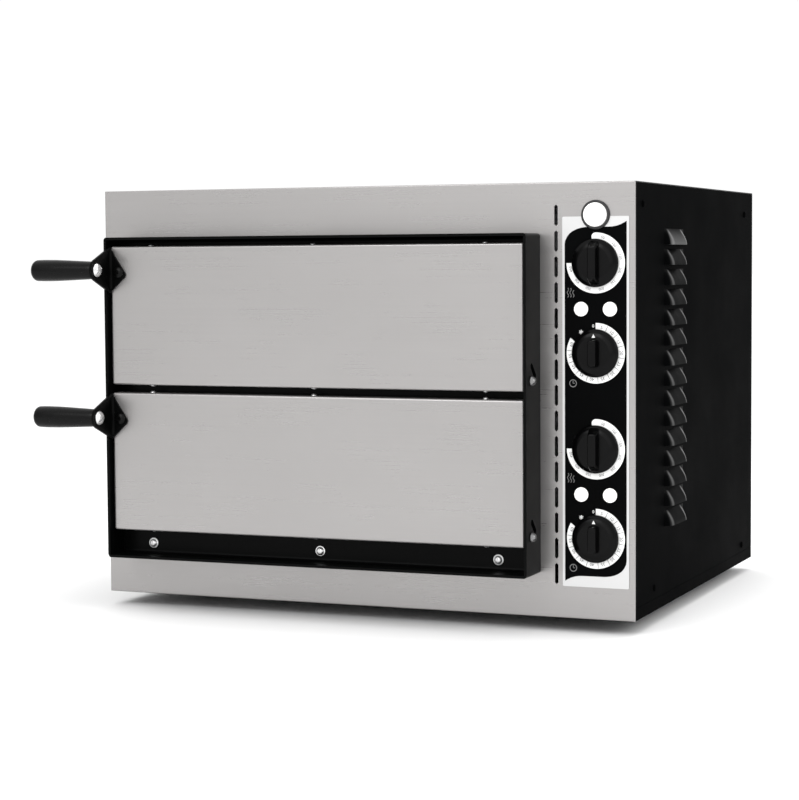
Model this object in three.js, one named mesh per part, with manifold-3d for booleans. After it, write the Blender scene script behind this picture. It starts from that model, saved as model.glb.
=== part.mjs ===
// Countertop pizza oven with two baking chambers, one above the other.
//
// Working frame, in millimetres: X runs to the right, Y to the back and Z up. X = 0 is the middle of the
// cabinet, Y = 0 the outer face of the front panel and Z = 0 the underside of the cabinet. The last lines
// move the whole oven so that its origin is at the bottom centre of its bounding box.

import * as THREE from 'three';
import * as BufferGeometryUtils from 'three/addons/utils/BufferGeometryUtils.js';
import { ConvexGeometry } from 'three/addons/geometries/ConvexGeometry.js';
import Module from 'manifold-3d';

const wasm = await Module();
wasm.setup();

// ---------------------------------------------------------------- driving dimensions

const GAP = 0.3;                    // clearance between touching pieces
const THROUGH = 1;                  // how far a cutter runs past the sheet it cuts
const SHEET = 1.2;                  // casing sheet
const LINING = 1;                   // chamber and door sheet

const CABINET = { width: 568, height: 416, depth: 475, flange: 12 };
const FOOT = { height: 14, top: 14, bottom: 12, insetX: 60, insetFront: 100, insetBack: 60 };

const CHAMBER = { x: -36, width: 405, depth: 405, height: 110, below: 23, above: 2 };
const LOWER_SILL = 87.5;            // bottom of the lower chamber's mouth
const DECK_PITCH = 148.5;           // from the lower deck to the upper one

const SURROUND = { width: 452, bottom: 42, top: 368, proud: 42, wall: 2.6 };
const FACE_PLATE = { y: -14, sheet: 2, cove: 3.5 };
const WINDOW = { width: 432, bottom: 54, top: 356 };

const DOOR = { width: 443.2, height: 140.5, depth: 16, faceY: -8 };
const PAN = { width: 428, low: 0.5, high: 127, padDepth: 3.5, padInset: 7 };
const PIVOT = { y: -28, belowSill: 7.5, aboveEdge: 10, radius: 3, head: 4.6, headLength: 5, reach: 12 };
const HINGE_SLOT = { y: -21, rise: 9, length: 14, radius: 3 };

const STONE = { width: 400, depth: 398, thickness: 14, frontY: -10 };
const LEDGE = { width: 8, z: -16 };
const ELEMENT = {
  radius: 3.1, legs: 6, spacing: 58, firstY: 45, turnX: 151, endX: 241, low: -19.6, high: 106.5,
};
const ELEMENT_HOLE = 5;
const BULB = { y: 60, z: 98, radius: 3.2, length: 74, capillary: 1.2, x: 194 };
const INSULATION = { left: -262, right: 189, front: 2, back: 430, bottom: 38, top: 374 };

const BRACKET = { overhang: 1, height: 48, sheet: 2, tipReach: 18.5, tipRadius: 5, tipDrop: 4.7, earRadius: 11 };
const HANDLE = { y: -38, z: 106.5, length: 69.6, neck: 9.1, belly: 10.9, boltRadius: 4, boltReach: 30 };
const BOLT_HEAD = { radius: 7, height: 4.6 };
const BUTTON_SCREW = { x: -211.5, z: 104, head: 6, height: 2.7, shank: 2 };

const CONTROL_X = 245.4;
const DIALS = [
  { name: 'upper_thermostat', z: 339.4, bulbDeck: 1 },
  { name: 'upper_timer', z: 254.2 },
  { name: 'lower_thermostat', z: 163.1, bulbDeck: 0 },
  { name: 'lower_timer', z: 77.7 },
];
const KNOB = { radius: 22.9, back: -1.3, skirt: 4.7, shoulder: 19.5, face: -8.2, front: -16, bar: 9 };
const SHAFT = { radius: 3, front: -12.5, back: 14 };
const REGULATOR = { size: 34, front: 6, depth: 24, neck: 4.9 };
const LAMPS = [
  { name: 'upper_left_lamp', x: 231.3, z: 295.9 },
  { name: 'upper_right_lamp', x: 259.7, z: 295.9 },
  { name: 'lower_left_lamp', x: 231.3, z: 119.6 },
  { name: 'lower_right_lamp', x: 259.7, z: 119.6 },
];
const LAMP = { bezel: 6.9, barrel: 5, front: -4.2, back: 24 };
const SWITCH = {
  z: 384.8, bezel: 13.9, barrel: 12.8, well: 11.7, cap: 11.4, front: -3, capFront: -6.2, back: 18,
};
const LABEL = { left: 212.4, right: 278.2, bottom: 30.9, top: 383.3, sheet: 0.5, notch: 14.3 };
const VENT = { x: 206, top: 395, length: 20.5, width: 3.5, pitch: 24.45, count: 15 };

const LOUVRE = {
  y: 101, top: 372.3, length: 71, height: 15.5, proud: 7.5, inset: 8, pitch: 19.83, count: 15,
};
const LOUVRE_SKIN = 1.5;
const TOP_SLOT = { y: 300, length: 90, width: 4, pitch: 10, first: 212, count: 6 };
const BACK_SLOT = { z: 330, length: 60, width: 4, pitch: 10, first: 212, count: 6 };
const PARTITION_X = 192;
const TERMINALS = { left: 222, right: 274, front: 436, back: 464, height: 22 };
const GLAND = { x: 245, z: 60, hex: 12, thread: 8, bore: 4.5, inside: 9, outside: 14 };

// ---------------------------------------------------------------- materials

function material(color, roughness, metalness) {
  return new THREE.MeshStandardMaterial({ color, roughness, metalness });
}

const brushedSteel = material(0xc9c8c6, 0.34, 1);
const blackPaint = material(0x111213, 0.42, 0.1);
const greySteel = material(0x9a9c9e, 0.45, 1);
const liningSteel = material(0xa8a6a0, 0.5, 1);
const stoneMaterial = material(0xcdb896, 0.95, 0);
const elementMaterial = material(0x57524d, 0.5, 0.9);
const woolMaterial = material(0xd9d2bd, 1, 0);
const bakelite = material(0x131313, 0.35, 0);
const zincSteel = material(0xd2d3d4, 0.25, 1);
const labelMaterial = material(0x191a1c, 0.5, 0);
const lampMaterial = material(0xf2efe8, 0.2, 0);
const whitePlastic = material(0xf6f6f4, 0.3, 0);
const rubberMaterial = material(0x1b1b1b, 0.85, 0);
const ceramicMaterial = material(0xe9e4d8, 0.6, 0);

// ---------------------------------------------------------------- geometry helpers

const ALONG_Y = new THREE.Matrix4().makeBasis(
  new THREE.Vector3(1, 0, 0), new THREE.Vector3(0, 0, 1), new THREE.Vector3(0, -1, 0));
const ALONG_X = new THREE.Matrix4().makeBasis(
  new THREE.Vector3(0, 1, 0), new THREE.Vector3(0, 0, 1), new THREE.Vector3(1, 0, 0));

function solid(geometry) {
  const bare = geometry.index ? geometry.toNonIndexed() : geometry.clone();
  bare.deleteAttribute('normal');
  bare.deleteAttribute('uv');
  const merged = BufferGeometryUtils.mergeVertices(bare, 1e-4);
  const corners = merged.index.array;
  const triangles = [];
  for (let i = 0; i < corners.length; i += 3) {
    const [a, b, c] = corners.slice(i, i + 3);
    if (a !== b && b !== c && c !== a) triangles.push(a, b, c);
  }
  return new wasm.Manifold(new wasm.Mesh({
    numProp: 3,
    vertProperties: new Float32Array(merged.attributes.position.array),
    triVerts: new Uint32Array(triangles),
  }));
}

function join(first, ...others) {
  return others.reduce((whole, part) => whole.add(part), first);
}

function cut(first, ...tools) {
  return tools.reduce((whole, tool) => whole.subtract(tool), first);
}

function toGeometry(body) {
  const mesh = body.getMesh();
  const geometry = new THREE.BufferGeometry();
  geometry.setAttribute('position', new THREE.BufferAttribute(new Float32Array(mesh.vertProperties), 3));
  geometry.setIndex(new THREE.BufferAttribute(new Uint32Array(mesh.triVerts), 1));
  geometry.computeVertexNormals();
  return geometry;
}

// A block between two values on each axis.
function block(x0, x1, y0, y1, z0, z1) {
  const geometry = new THREE.BoxGeometry(x1 - x0, y1 - y0, z1 - z0);
  return solid(geometry.translate((x0 + x1) / 2, (y0 + y1) / 2, (z0 + z1) / 2));
}

// An outline drawn in X and Z, made into a plate between two values of Y.
function plateY(outline, y0, y1, curveSegments = 3) {
  const options = { depth: y1 - y0, bevelEnabled: false, curveSegments };
  const geometry = new THREE.ExtrudeGeometry(outline, options);
  return solid(geometry.applyMatrix4(ALONG_Y).translate(0, y1, 0));
}

// An outline drawn in Y and Z, made into a plate between two values of X.
function plateX(outline, x0, x1, curveSegments = 3) {
  const options = { depth: x1 - x0, bevelEnabled: false, curveSegments };
  const geometry = new THREE.ExtrudeGeometry(outline, options);
  return solid(geometry.applyMatrix4(ALONG_X).translate(x0, 0, 0));
}

// A turned body on the Y axis. The profile lists [radius, y] with y rising, from the axis to the axis.
function turnedY(profile, segments = 12) {
  const points = profile.map(([radius, y]) => new THREE.Vector2(radius, y));
  return solid(new THREE.LatheGeometry(points, segments));
}

function cylinderY(radius, y0, y1, x = 0, z = 0, segments = 12) {
  const geometry = new THREE.CylinderGeometry(radius, radius, y1 - y0, segments);
  return solid(geometry.translate(x, (y0 + y1) / 2, z));
}

function cylinderX(radius, x0, x1, y = 0, z = 0, segments = 12) {
  const geometry = new THREE.CylinderGeometry(radius, radius, x1 - x0, segments).rotateZ(Math.PI / 2);
  return solid(geometry.translate((x0 + x1) / 2, y, z));
}

// A turned body on the X axis, from a profile of [radius, x] with x rising.
function turnedX(profile, segments = 12) {
  const points = profile.map(([radius, x]) => new THREE.Vector2(radius, x));
  return solid(new THREE.LatheGeometry(points, segments).rotateZ(-Math.PI / 2));
}

// A straight slot with round ends, drawn upright and then turned.
function slotOutline(cx, cy, length, radius, turn = 0) {
  const along = new THREE.Vector2(-Math.sin(turn), Math.cos(turn)).multiplyScalar(length / 2);
  const shape = new THREE.Shape();
  shape.absarc(cx + along.x, cy + along.y, radius, turn, turn + Math.PI);
  shape.absarc(cx - along.x, cy - along.y, radius, turn + Math.PI, turn + 2 * Math.PI);
  return shape;
}

// A plate outline from a base edge to a round end about a centre.
function earOutline(baseTop, baseBottom, centre, radius) {
  const tangentAngle = (base, side) => {
    const toBase = base.clone().sub(centre);
    return toBase.angle() + side * Math.acos(radius / toBase.length());
  };
  const side = centre.x < baseTop.x ? 1 : -1;
  const shape = new THREE.Shape();
  shape.moveTo(baseBottom.x, baseBottom.y);
  shape.lineTo(baseTop.x, baseTop.y);
  const start = tangentAngle(baseTop, side);
  const end = tangentAngle(baseBottom, -side);
  shape.absarc(centre.x, centre.y, radius, start, end, side < 0);
  return shape;
}

// A path through given points, one step from each point to the next.
class PointPath extends THREE.Curve {
  constructor(points) {
    super();
    this.points = points;
  }

  getPoint(t, target = new THREE.Vector3()) {
    const place = t * (this.points.length - 1);
    const index = Math.min(Math.floor(place), this.points.length - 2);
    return target.copy(this.points[index]).lerp(this.points[index + 1], place - index);
  }

  getUtoTmapping(u) {
    return u;
  }
}

function tube(points, radius) {
  const section = new THREE.Shape();
  section.absarc(0, 0, radius, 0, 2 * Math.PI);
  const options = { steps: points.length - 1, extrudePath: new PointPath(points), curveSegments: 3 };
  return solid(new THREE.ExtrudeGeometry(section, options));
}

// ---------------------------------------------------------------- assembly helpers

const oven = new THREE.Group();

function add(parent, name, body, finish) {
  const mesh = new THREE.Mesh(toGeometry(body), finish);
  mesh.name = name;
  parent.add(mesh);
  return mesh;
}

function place(parent, x, y, z) {
  const group = new THREE.Group();
  group.position.set(x, y, z);
  parent.add(group);
  return group;
}

const halfWidth = CABINET.width / 2;
const deckSills = [LOWER_SILL, LOWER_SILL + DECK_PITCH];
const pivotHeights = deckSills.map((sill) => sill - PIVOT.belowSill);
const elementEndYs = [ELEMENT.firstY, ELEMENT.firstY + (ELEMENT.legs - 1) * ELEMENT.spacing];

// Holes along X for the element ends and the capillary of every deck, through a wall between x0 and x1.
function serviceHoles(x0, x1, sills) {
  return sills.flatMap((sill) => [
    ...elementEndYs.flatMap((y) => [
      cylinderX(ELEMENT_HOLE, x0, x1, y, sill + ELEMENT.low, 8),
      cylinderX(ELEMENT_HOLE, x0, x1, y, sill + ELEMENT.high, 8),
    ]),
    cylinderX(BULB.radius + GAP, x0, x1, BULB.y, sill + BULB.z, 8),
  ]);
}

// ---------------------------------------------------------------- casing

// Holes along Y for the dial bushes, the pilot lamps and the switch.
function controlHoles(y0, y1, switchRadius) {
  return [
    ...DIALS.map((dial) => cylinderY(REGULATOR.neck + GAP, y0, y1, CONTROL_X, dial.z)),
    ...LAMPS.map((lamp) => cylinderY(LAMP.barrel + GAP, y0, y1, lamp.x, lamp.z)),
    cylinderY(switchRadius, y0, y1, CONTROL_X, SWITCH.z, 20),
  ];
}

function frontPanel() {
  const { height, flange } = CABINET;
  const panel = block(-halfWidth, halfWidth, 0, SHEET, 0, height);
  const inner = halfWidth - SHEET - 1.6;
  const rightFold = block(inner - SHEET, inner, SHEET / 2, flange, 13, height - 14);
  const leftFold = block(-inner, SHEET - inner, SHEET / 2, flange, 13, height - 14);
  const topFold = block(-inner + 2, inner - 2, SHEET / 2, flange, height - 2.8, height - 1.6);
  const window = block(
    CHAMBER.x - WINDOW.width / 2, CHAMBER.x + WINDOW.width / 2, -THROUGH, SHEET + THROUGH,
    WINDOW.bottom, WINDOW.top);
  const vents = [];
  for (let i = 0; i < VENT.count; i += 1) {
    const middle = VENT.top - VENT.length / 2 - i * VENT.pitch;
    const outline = slotOutline(VENT.x, middle, VENT.length - VENT.width, VENT.width / 2);
    vents.push(plateY(outline, -THROUGH, SHEET + THROUGH, 1));
  }
  const controls = controlHoles(-THROUGH, SHEET + THROUGH, SWITCH.barrel + GAP);
  return cut(join(panel, rightFold, leftFold, topFold), window, ...vents, ...controls);
}

// One pressed louvre: a hood open at the bottom, standing on the outer face of the right panel.
function louvreHood(top) {
  const { y, length, height, proud, inset } = LOUVRE;
  const hull = (back, margin, rise, reach, end, low) => solid(new ConvexGeometry([
    new THREE.Vector3(halfWidth + back, y + margin, top - rise),
    new THREE.Vector3(halfWidth + back, y + length - margin, top - rise),
    new THREE.Vector3(halfWidth + back, y + margin, low),
    new THREE.Vector3(halfWidth + back, y + length - margin, low),
    new THREE.Vector3(halfWidth + reach, y + end, low),
    new THREE.Vector3(halfWidth + reach, y + length - end, low),
  ]));
  const low = top - height;
  const outer = hull(-0.2, 0, 0, proud, inset, low);
  const skin = LOUVRE_SKIN;
  const hollow = hull(-0.4, skin, 2 * skin, proud - skin, inset + skin, low - THROUGH);
  return cut(outer, hollow);
}

function rightSidePanel() {
  const { height, depth } = CABINET;
  let panel = block(halfWidth - SHEET, halfWidth, 1.5, depth - 1.5, 12.3, height - 1.5);
  for (let i = 0; i < LOUVRE.count; i += 1) {
    const top = LOUVRE.top - i * LOUVRE.pitch;
    const opening = block(
      halfWidth - SHEET - THROUGH, halfWidth + THROUGH,
      LOUVRE.y + LOUVRE_SKIN, LOUVRE.y + LOUVRE.length - LOUVRE_SKIN,
      top - LOUVRE.height, top - 2 * LOUVRE_SKIN);
    panel = cut(panel, opening).add(louvreHood(top));
  }
  return panel;
}

function leftSidePanel() {
  return block(-halfWidth, SHEET - halfWidth, 1.5, CABINET.depth - 1.5, 12.3, CABINET.height - 1.5);
}

function slotRow(layout, makeSlot) {
  const slots = [];
  for (let i = 0; i < layout.count; i += 1) slots.push(makeSlot(layout.first + i * layout.pitch));
  return slots;
}

function topCover() {
  const { height, depth, flange } = CABINET;
  const sheet = block(-halfWidth, halfWidth, 1.5, depth - 1.5, height - SHEET, height);
  const inner = halfWidth - SHEET - 0.4;
  const rightFold = block(inner - SHEET, inner, 14, depth - 3, height - flange, height - SHEET / 2);
  const leftFold = block(-inner, SHEET - inner, 14, depth - 3, height - flange, height - SHEET / 2);
  const slots = slotRow(TOP_SLOT, (x) => block(
    x, x + TOP_SLOT.width, TOP_SLOT.y, TOP_SLOT.y + TOP_SLOT.length,
    height - SHEET - THROUGH, height + THROUGH));
  return cut(join(sheet, rightFold, leftFold), ...slots);
}

function backPanel() {
  const { height, depth } = CABINET;
  const sheet = block(-halfWidth, halfWidth, depth - SHEET, depth, 0, height);
  const slots = slotRow(BACK_SLOT, (x) => block(
    x, x + BACK_SLOT.width, depth - SHEET - THROUGH, depth + THROUGH,
    BACK_SLOT.z, BACK_SLOT.z + BACK_SLOT.length));
  const glandHole = cylinderY(GLAND.thread + GAP, depth - SHEET - THROUGH, depth + THROUGH, GLAND.x, GLAND.z);
  return cut(sheet, ...slots, glandHole);
}

function basePan() {
  const { depth, flange } = CABINET;
  const back = depth - 1.5;
  return join(
    block(-halfWidth, halfWidth, 1.5, back, 0, SHEET),
    block(-halfWidth, SHEET - halfWidth, 1.5, back, 0, flange),
    block(halfWidth - SHEET, halfWidth, 1.5, back, 0, flange),
    block(4 - halfWidth, halfWidth - 4, 1.5, 1.5 + SHEET, 0, flange),
    block(-halfWidth, halfWidth, back - SHEET, back, 0, flange));
}

function partitionWall() {
  const { depth, height } = CABINET;
  const wall = block(PARTITION_X, PARTITION_X + SHEET, 3, depth - 3.5, SHEET + GAP, height - 3.2);
  return cut(wall, ...serviceHoles(PARTITION_X - THROUGH, PARTITION_X + SHEET + THROUGH, deckSills));
}

function foot() {
  return turnedY([[0, -FOOT.height], [FOOT.bottom, -FOOT.height], [FOOT.top, -GAP], [0, -GAP]], 16);
}

// ---------------------------------------------------------------- door surround and insulation

// The concave bend between the face plate and a wall, drawn about the inner corner.
function coveOutline(x, y, turnX, turnY) {
  const r = FACE_PLATE.cove;
  const overlap = 0.5;
  const shape = new THREE.Shape();
  shape.moveTo(x - overlap * turnX, y - overlap * turnY);
  shape.lineTo(x + r * turnX, y - overlap * turnY);
  for (let i = 0; i <= 4; i += 1) {
    const angle = (Math.PI / 2) * (i / 4);
    shape.lineTo(x + r * turnX * (1 - Math.sin(angle)), y + r * turnY * (1 - Math.cos(angle)));
  }
  shape.lineTo(x - overlap * turnX, y + r * turnY);
  shape.closePath();
  return shape;
}

function doorSurround() {
  const { width, bottom, top, proud, wall } = SURROUND;
  const left = CHAMBER.x - width / 2;
  const right = CHAMBER.x + width / 2;
  const outer = block(left, right, -proud, -GAP, bottom, top);
  const hollow = [left + wall, right - wall, bottom + wall, top - wall];
  const [x0, x1, z0, z1] = hollow;
  const plateBack = FACE_PLATE.y + FACE_PLATE.sheet;
  const front = block(x0, x1, -proud - THROUGH, FACE_PLATE.y, z0, z1);
  const behind = block(x0, x1, plateBack, THROUGH, z0, z1);
  const mouths = deckSills.map((sill) => block(
    CHAMBER.x - CHAMBER.width / 2, CHAMBER.x + CHAMBER.width / 2, FACE_PLATE.y - THROUGH, plateBack + THROUGH,
    sill, sill + CHAMBER.height));
  const shell = cut(outer, front, behind, ...mouths);
  const coves = [
    plateX(coveOutline(FACE_PLATE.y, z0, -1, 1), x0 - wall / 2, x1 + wall / 2),
    plateX(coveOutline(FACE_PLATE.y, z1, -1, -1), x0 - wall / 2, x1 + wall / 2),
  ];
  const pivotHoles = pivotHeights.flatMap((z) => [
    cylinderX(PIVOT.radius + GAP, left - THROUGH, x0 + THROUGH, PIVOT.y, z),
    cylinderX(PIVOT.radius + GAP, x1 - THROUGH, right + THROUGH, PIVOT.y, z),
  ]);
  const slots = pivotHeights.flatMap((z) => {
    const { y, rise, length, radius } = HINGE_SLOT;
    const outline = slotOutline(y, z + rise, length, radius, Math.PI / 4);
    return [plateX(outline, left - THROUGH, x0 + 0.1, 2), plateX(outline, x1 - 0.1, right + THROUGH, 2)];
  });
  return cut(join(shell, ...coves), ...pivotHoles, ...slots);
}

function insulationCore() {
  const { left, right, front, back, bottom, top } = INSULATION;
  const pockets = deckSills.map((sill) => {
    const half = CHAMBER.width / 2 + LINING + 0.5;
    const end = CHAMBER.depth + FACE_PLATE.y + 4;
    return block(
      CHAMBER.x - half, CHAMBER.x + half, front - THROUGH, end,
      sill - CHAMBER.below - LINING - 0.4, sill + CHAMBER.height + CHAMBER.above + LINING + 0.4);
  });
  const holes = serviceHoles(CHAMBER.x + CHAMBER.width / 2, right + THROUGH, deckSills);
  return cut(block(left, right, front, back, bottom, top), ...pockets, ...holes);
}

// ---------------------------------------------------------------- one baking deck, sill at z = 0

function chamberLiner() {
  const { width, depth, height, below, above } = CHAMBER;
  const half = width / 2;
  const front = FACE_PLATE.y + FACE_PLATE.sheet + GAP;
  const back = front + depth;
  const shell = block(
    -half - LINING, half + LINING, front, back + LINING, -below - LINING, height + above + LINING);
  const hollow = block(-half, half, front - THROUGH, back, -below, height + above);
  const ledges = [-1, 1].map((side) => {
    const x = side * (half - LEDGE.width / 2 + LINING / 4);
    const reach = LEDGE.width / 2 + LINING / 4;
    return block(x - reach, x + reach, front + 12, back - 12, LEDGE.z, LEDGE.z + SHEET);
  });
  const lining = join(cut(shell, hollow), ...ledges);
  return cut(lining, ...serviceHoles(half - THROUGH, half + LINING + THROUGH, [0]));
}

function bakingStone() {
  const bottom = LEDGE.z + SHEET + GAP;
  const { width, depth, thickness, frontY } = STONE;
  return block(-width / 2, width / 2, frontY, frontY + depth, bottom, bottom + thickness);
}

// A tubular element laid out in parallel legs, with both ends leaving through the right-hand wall.
function heatingElement(z) {
  const { legs, spacing, firstY, turnX, endX, radius } = ELEMENT;
  const bendSteps = 5;
  const points = [new THREE.Vector3(endX, firstY, z)];
  for (let leg = 0; leg < legs - 1; leg += 1) {
    const side = leg % 2 === 0 ? -1 : 1;
    const middleY = firstY + (leg + 0.5) * spacing;
    for (let i = 0; i <= bendSteps; i += 1) {
      const angle = -Math.PI / 2 + Math.PI * (i / bendSteps);
      const x = side * (turnX + (spacing / 2) * Math.cos(angle));
      points.push(new THREE.Vector3(x, middleY + (spacing / 2) * Math.sin(angle), z));
    }
  }
  points.push(new THREE.Vector3(endX, elementEndYs[1], z));
  return tube(points, radius);
}

// ---------------------------------------------------------------- one door, hinge axis at y = 0, z = 0

function doorSkin() {
  const half = DOOR.width / 2;
  const bottom = -PIVOT.aboveEdge;
  const top = bottom + DOOR.height;
  const back = DOOR.faceY + DOOR.depth;
  const outer = block(-half, half, DOOR.faceY, back, bottom, top);
  const hollow = block(
    -half + LINING, half - LINING, DOOR.faceY + LINING, back + THROUGH, bottom + LINING, top - LINING);
  const pivots = [-1, 1].map((side) => cylinderX(PIVOT.radius + GAP, side * half - 4, side * half + 4));
  const screwHole = cylinderY(
    BUTTON_SCREW.shank + GAP, DOOR.faceY - THROUGH, DOOR.faceY + LINING + THROUGH,
    BUTTON_SCREW.x, BUTTON_SCREW.z, 12);
  return cut(outer, hollow, ...pivots, screwHole);
}

function doorInnerPan() {
  const half = PAN.width / 2;
  const front = DOOR.faceY + DOOR.depth + GAP;
  const inset = PAN.padInset;
  const plate = block(-half, half, front, front + LINING, PAN.low, PAN.high);
  const pad = block(
    -half + inset, half - inset, front, front + LINING + PAN.padDepth, PAN.low + inset, PAN.high - inset);
  const pocket = block(
    -half + inset + LINING, half - inset - LINING, front - THROUGH, front + PAN.padDepth,
    PAN.low + inset + LINING, PAN.high - inset - LINING);
  return cut(join(plate, pad), pocket);
}

function doorInsulation() {
  const half = PAN.width / 2 - 8;
  return block(-half, half, DOOR.faceY + LINING + 0.4, DOOR.faceY + DOOR.depth - 0.1, 5.5, PAN.high - 1);
}

// The bent bracket: one wing on the door's face, the other standing forward at the door's left edge.
function handleBracket() {
  const { height, sheet, tipReach, tipRadius, tipDrop, earRadius } = BRACKET;
  const edge = -DOOR.width / 2 - BRACKET.overhang;
  const face = DOOR.faceY - GAP;
  const high = HANDLE.z + height / 2;
  const low = HANDLE.z - height / 2;
  const tip = new THREE.Vector2(edge + tipReach - tipRadius, HANDLE.z - tipDrop);
  const wing = earOutline(new THREE.Vector2(edge, high), new THREE.Vector2(edge, low), tip, tipRadius);
  const eye = new THREE.Vector2(HANDLE.y, HANDLE.z);
  const ear = earOutline(new THREE.Vector2(face, high), new THREE.Vector2(face, low), eye, earRadius);
  const boltReach = edge + sheet + THROUGH;
  const boltHole = cylinderX(HANDLE.boltRadius + GAP, edge - THROUGH, boltReach, HANDLE.y, HANDLE.z);
  const screwHole = cylinderY(
    BUTTON_SCREW.shank + GAP, face - sheet - THROUGH, face + THROUGH, BUTTON_SCREW.x, BUTTON_SCREW.z, 12);
  return cut(join(plateY(wing, face - sheet, face), plateX(ear, edge, edge + sheet)), boltHole, screwHole);
}

function handleGrip() {
  const { length, neck, belly, boltRadius, boltReach } = HANDLE;
  const start = -DOOR.width / 2 - BRACKET.overhang - GAP;
  const profile = [
    [0, -length], [belly - 4, -length], [belly - 1.2, 1.4 - length], [belly, 4 - length],
    [belly, -length * 0.55], [belly - 0.7, -length * 0.3], [neck, -length * 0.08], [neck - 0.6, 0], [0, 0],
  ];
  const grip = turnedX(profile.map(([radius, x]) => [radius, x + start]), 14);
  const bore = cylinderX(boltRadius + GAP, start - boltReach, start + THROUGH);
  return cut(grip, bore).translate([0, HANDLE.y, HANDLE.z]);
}

function handleBolt() {
  const seat = -DOOR.width / 2 - BRACKET.overhang + BRACKET.sheet + GAP;
  const { radius, height } = BOLT_HEAD;
  const end = seat - BRACKET.sheet - HANDLE.boltReach + 1;
  const bolt = turnedX([
    [0, end], [HANDLE.boltRadius, end], [HANDLE.boltRadius, seat], [radius, seat],
    [radius, seat + height * 0.45], [radius * 0.7, seat + height * 0.88], [0, seat + height],
  ]);
  const slot = block(seat + height * 0.55, seat + height + THROUGH, -radius, radius, -0.8, 0.8);
  return cut(bolt, slot).translate([0, HANDLE.y, HANDLE.z]);
}

function bracketScrew() {
  const seat = DOOR.faceY - GAP - BRACKET.sheet - GAP;
  const { head, height, shank, x, z } = BUTTON_SCREW;
  return turnedY([
    [0, seat - height], [head * 0.55, seat - height * 0.85], [head * 0.9, seat - height * 0.4], [head, seat],
    [shank, seat], [shank, DOOR.faceY + LINING + 0.1], [0, DOOR.faceY + LINING + 0.1],
  ]).translate([x, 0, z]);
}

// A hinge screw through the surround's wall; side is -1 on the left and 1 on the right.
function pivotScrew(side) {
  const wall = SURROUND.width / 2;
  const { radius, head, headLength, reach } = PIVOT;
  const out = wall + GAP;
  const screw = turnedX([
    [0, wall - reach], [radius, wall - reach], [radius, out], [head, out],
    [head, out + headLength - 1], [head - 1, out + headLength], [0, out + headLength],
  ]);
  return side > 0 ? screw : screw.rotate([0, 0, 180]);
}

function buildDoor(deck, name) {
  const door = place(deck, 0, PIVOT.y, -PIVOT.belowSill);
  add(door, `${name}_door_skin`, doorSkin(), brushedSteel);
  add(door, `${name}_door_inner_pan`, doorInnerPan(), liningSteel);
  add(door, `${name}_door_insulation`, doorInsulation(), woolMaterial);
  add(door, `${name}_handle_bracket`, handleBracket(), blackPaint);
  add(door, `${name}_handle_grip`, handleGrip(), bakelite);
  add(door, `${name}_handle_bolt`, handleBolt(), zincSteel);
  add(door, `${name}_bracket_screw`, bracketScrew(), blackPaint);
  add(door, `${name}_hinge_screw_right`, pivotScrew(1), zincSteel);
  add(door, `${name}_hinge_screw_left`, pivotScrew(-1), zincSteel);
}

function buildDeck(name, sill) {
  const deck = place(oven, CHAMBER.x, 0, sill);
  add(deck, `${name}_chamber_liner`, chamberLiner(), liningSteel);
  add(deck, `${name}_baking_stone`, bakingStone(), stoneMaterial);
  add(deck, `${name}_bottom_element`, heatingElement(ELEMENT.low), elementMaterial);
  add(deck, `${name}_top_element`, heatingElement(ELEMENT.high), elementMaterial);
  buildDoor(deck, name);
}

// ---------------------------------------------------------------- controls

function labelPlate() {
  const { left, right, bottom, top, sheet, notch } = LABEL;
  const front = -GAP - sheet;
  const back = -GAP;
  const plate = block(left, right, front, back, bottom, top);
  return cut(plate, ...controlHoles(front - THROUGH, back + THROUGH, notch));
}

function knob() {
  const { radius, back, skirt, shoulder, face, front, bar } = KNOB;
  const body = turnedY([
    [0, face], [shoulder - 4, face], [shoulder, face + 1.2], [shoulder + 1, back - skirt],
    [radius, back - skirt + 1.2], [radius, back], [0, back],
  ], 24);
  const tail = block(-bar / 2, bar / 2, front, back - skirt, -radius + 1.5, radius - 1.5);
  const round = cylinderY(radius - 1, front - THROUGH, back, 0, 0, 24);
  const bore = cylinderY(SHAFT.radius + GAP, SHAFT.front - GAP, back + THROUGH, 0, 0, 8);
  return cut(join(body, tail.intersect(round)), bore);
}

function shaft() {
  return cylinderY(SHAFT.radius, SHAFT.front, SHAFT.back, 0, 0, 8);
}

function regulatorBody(size) {
  const { front, depth, neck } = REGULATOR;
  const housing = block(-size / 2, size / 2, front, front + depth, -size / 2, size / 2);
  const bush = cylinderY(neck, -0.2, front + THROUGH);
  const bore = cylinderY(SHAFT.radius + GAP, -THROUGH, SHAFT.back + GAP, 0, 0, 8);
  return cut(join(housing, bush), bore);
}

// The thermostat is one sealed hydraulic unit: housing, capillary and the sensing bulb in the chamber.
function thermostat(dialZ, sill) {
  const bulbZ = sill + BULB.z - dialZ;
  const bulbX = CHAMBER.x + BULB.x - CONTROL_X;
  const leave = REGULATOR.front + REGULATOR.depth;
  const capillary = tube([
    new THREE.Vector3(0, leave - THROUGH, 0),
    new THREE.Vector3(0, leave + 10, bulbZ * 0.3),
    new THREE.Vector3(-6, BULB.y - 6, bulbZ * 0.85),
    new THREE.Vector3(-16, BULB.y, bulbZ),
    new THREE.Vector3(bulbX + 6, BULB.y, bulbZ),
    new THREE.Vector3(bulbX + 1.5, BULB.y + 2, bulbZ),
    new THREE.Vector3(bulbX, BULB.y + 8, bulbZ),
  ], BULB.capillary);
  const bulb = cylinderY(BULB.radius, BULB.y + 6, BULB.y + 6 + BULB.length, bulbX, bulbZ, 8);
  return join(regulatorBody(REGULATOR.size), capillary, bulb);
}

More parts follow.
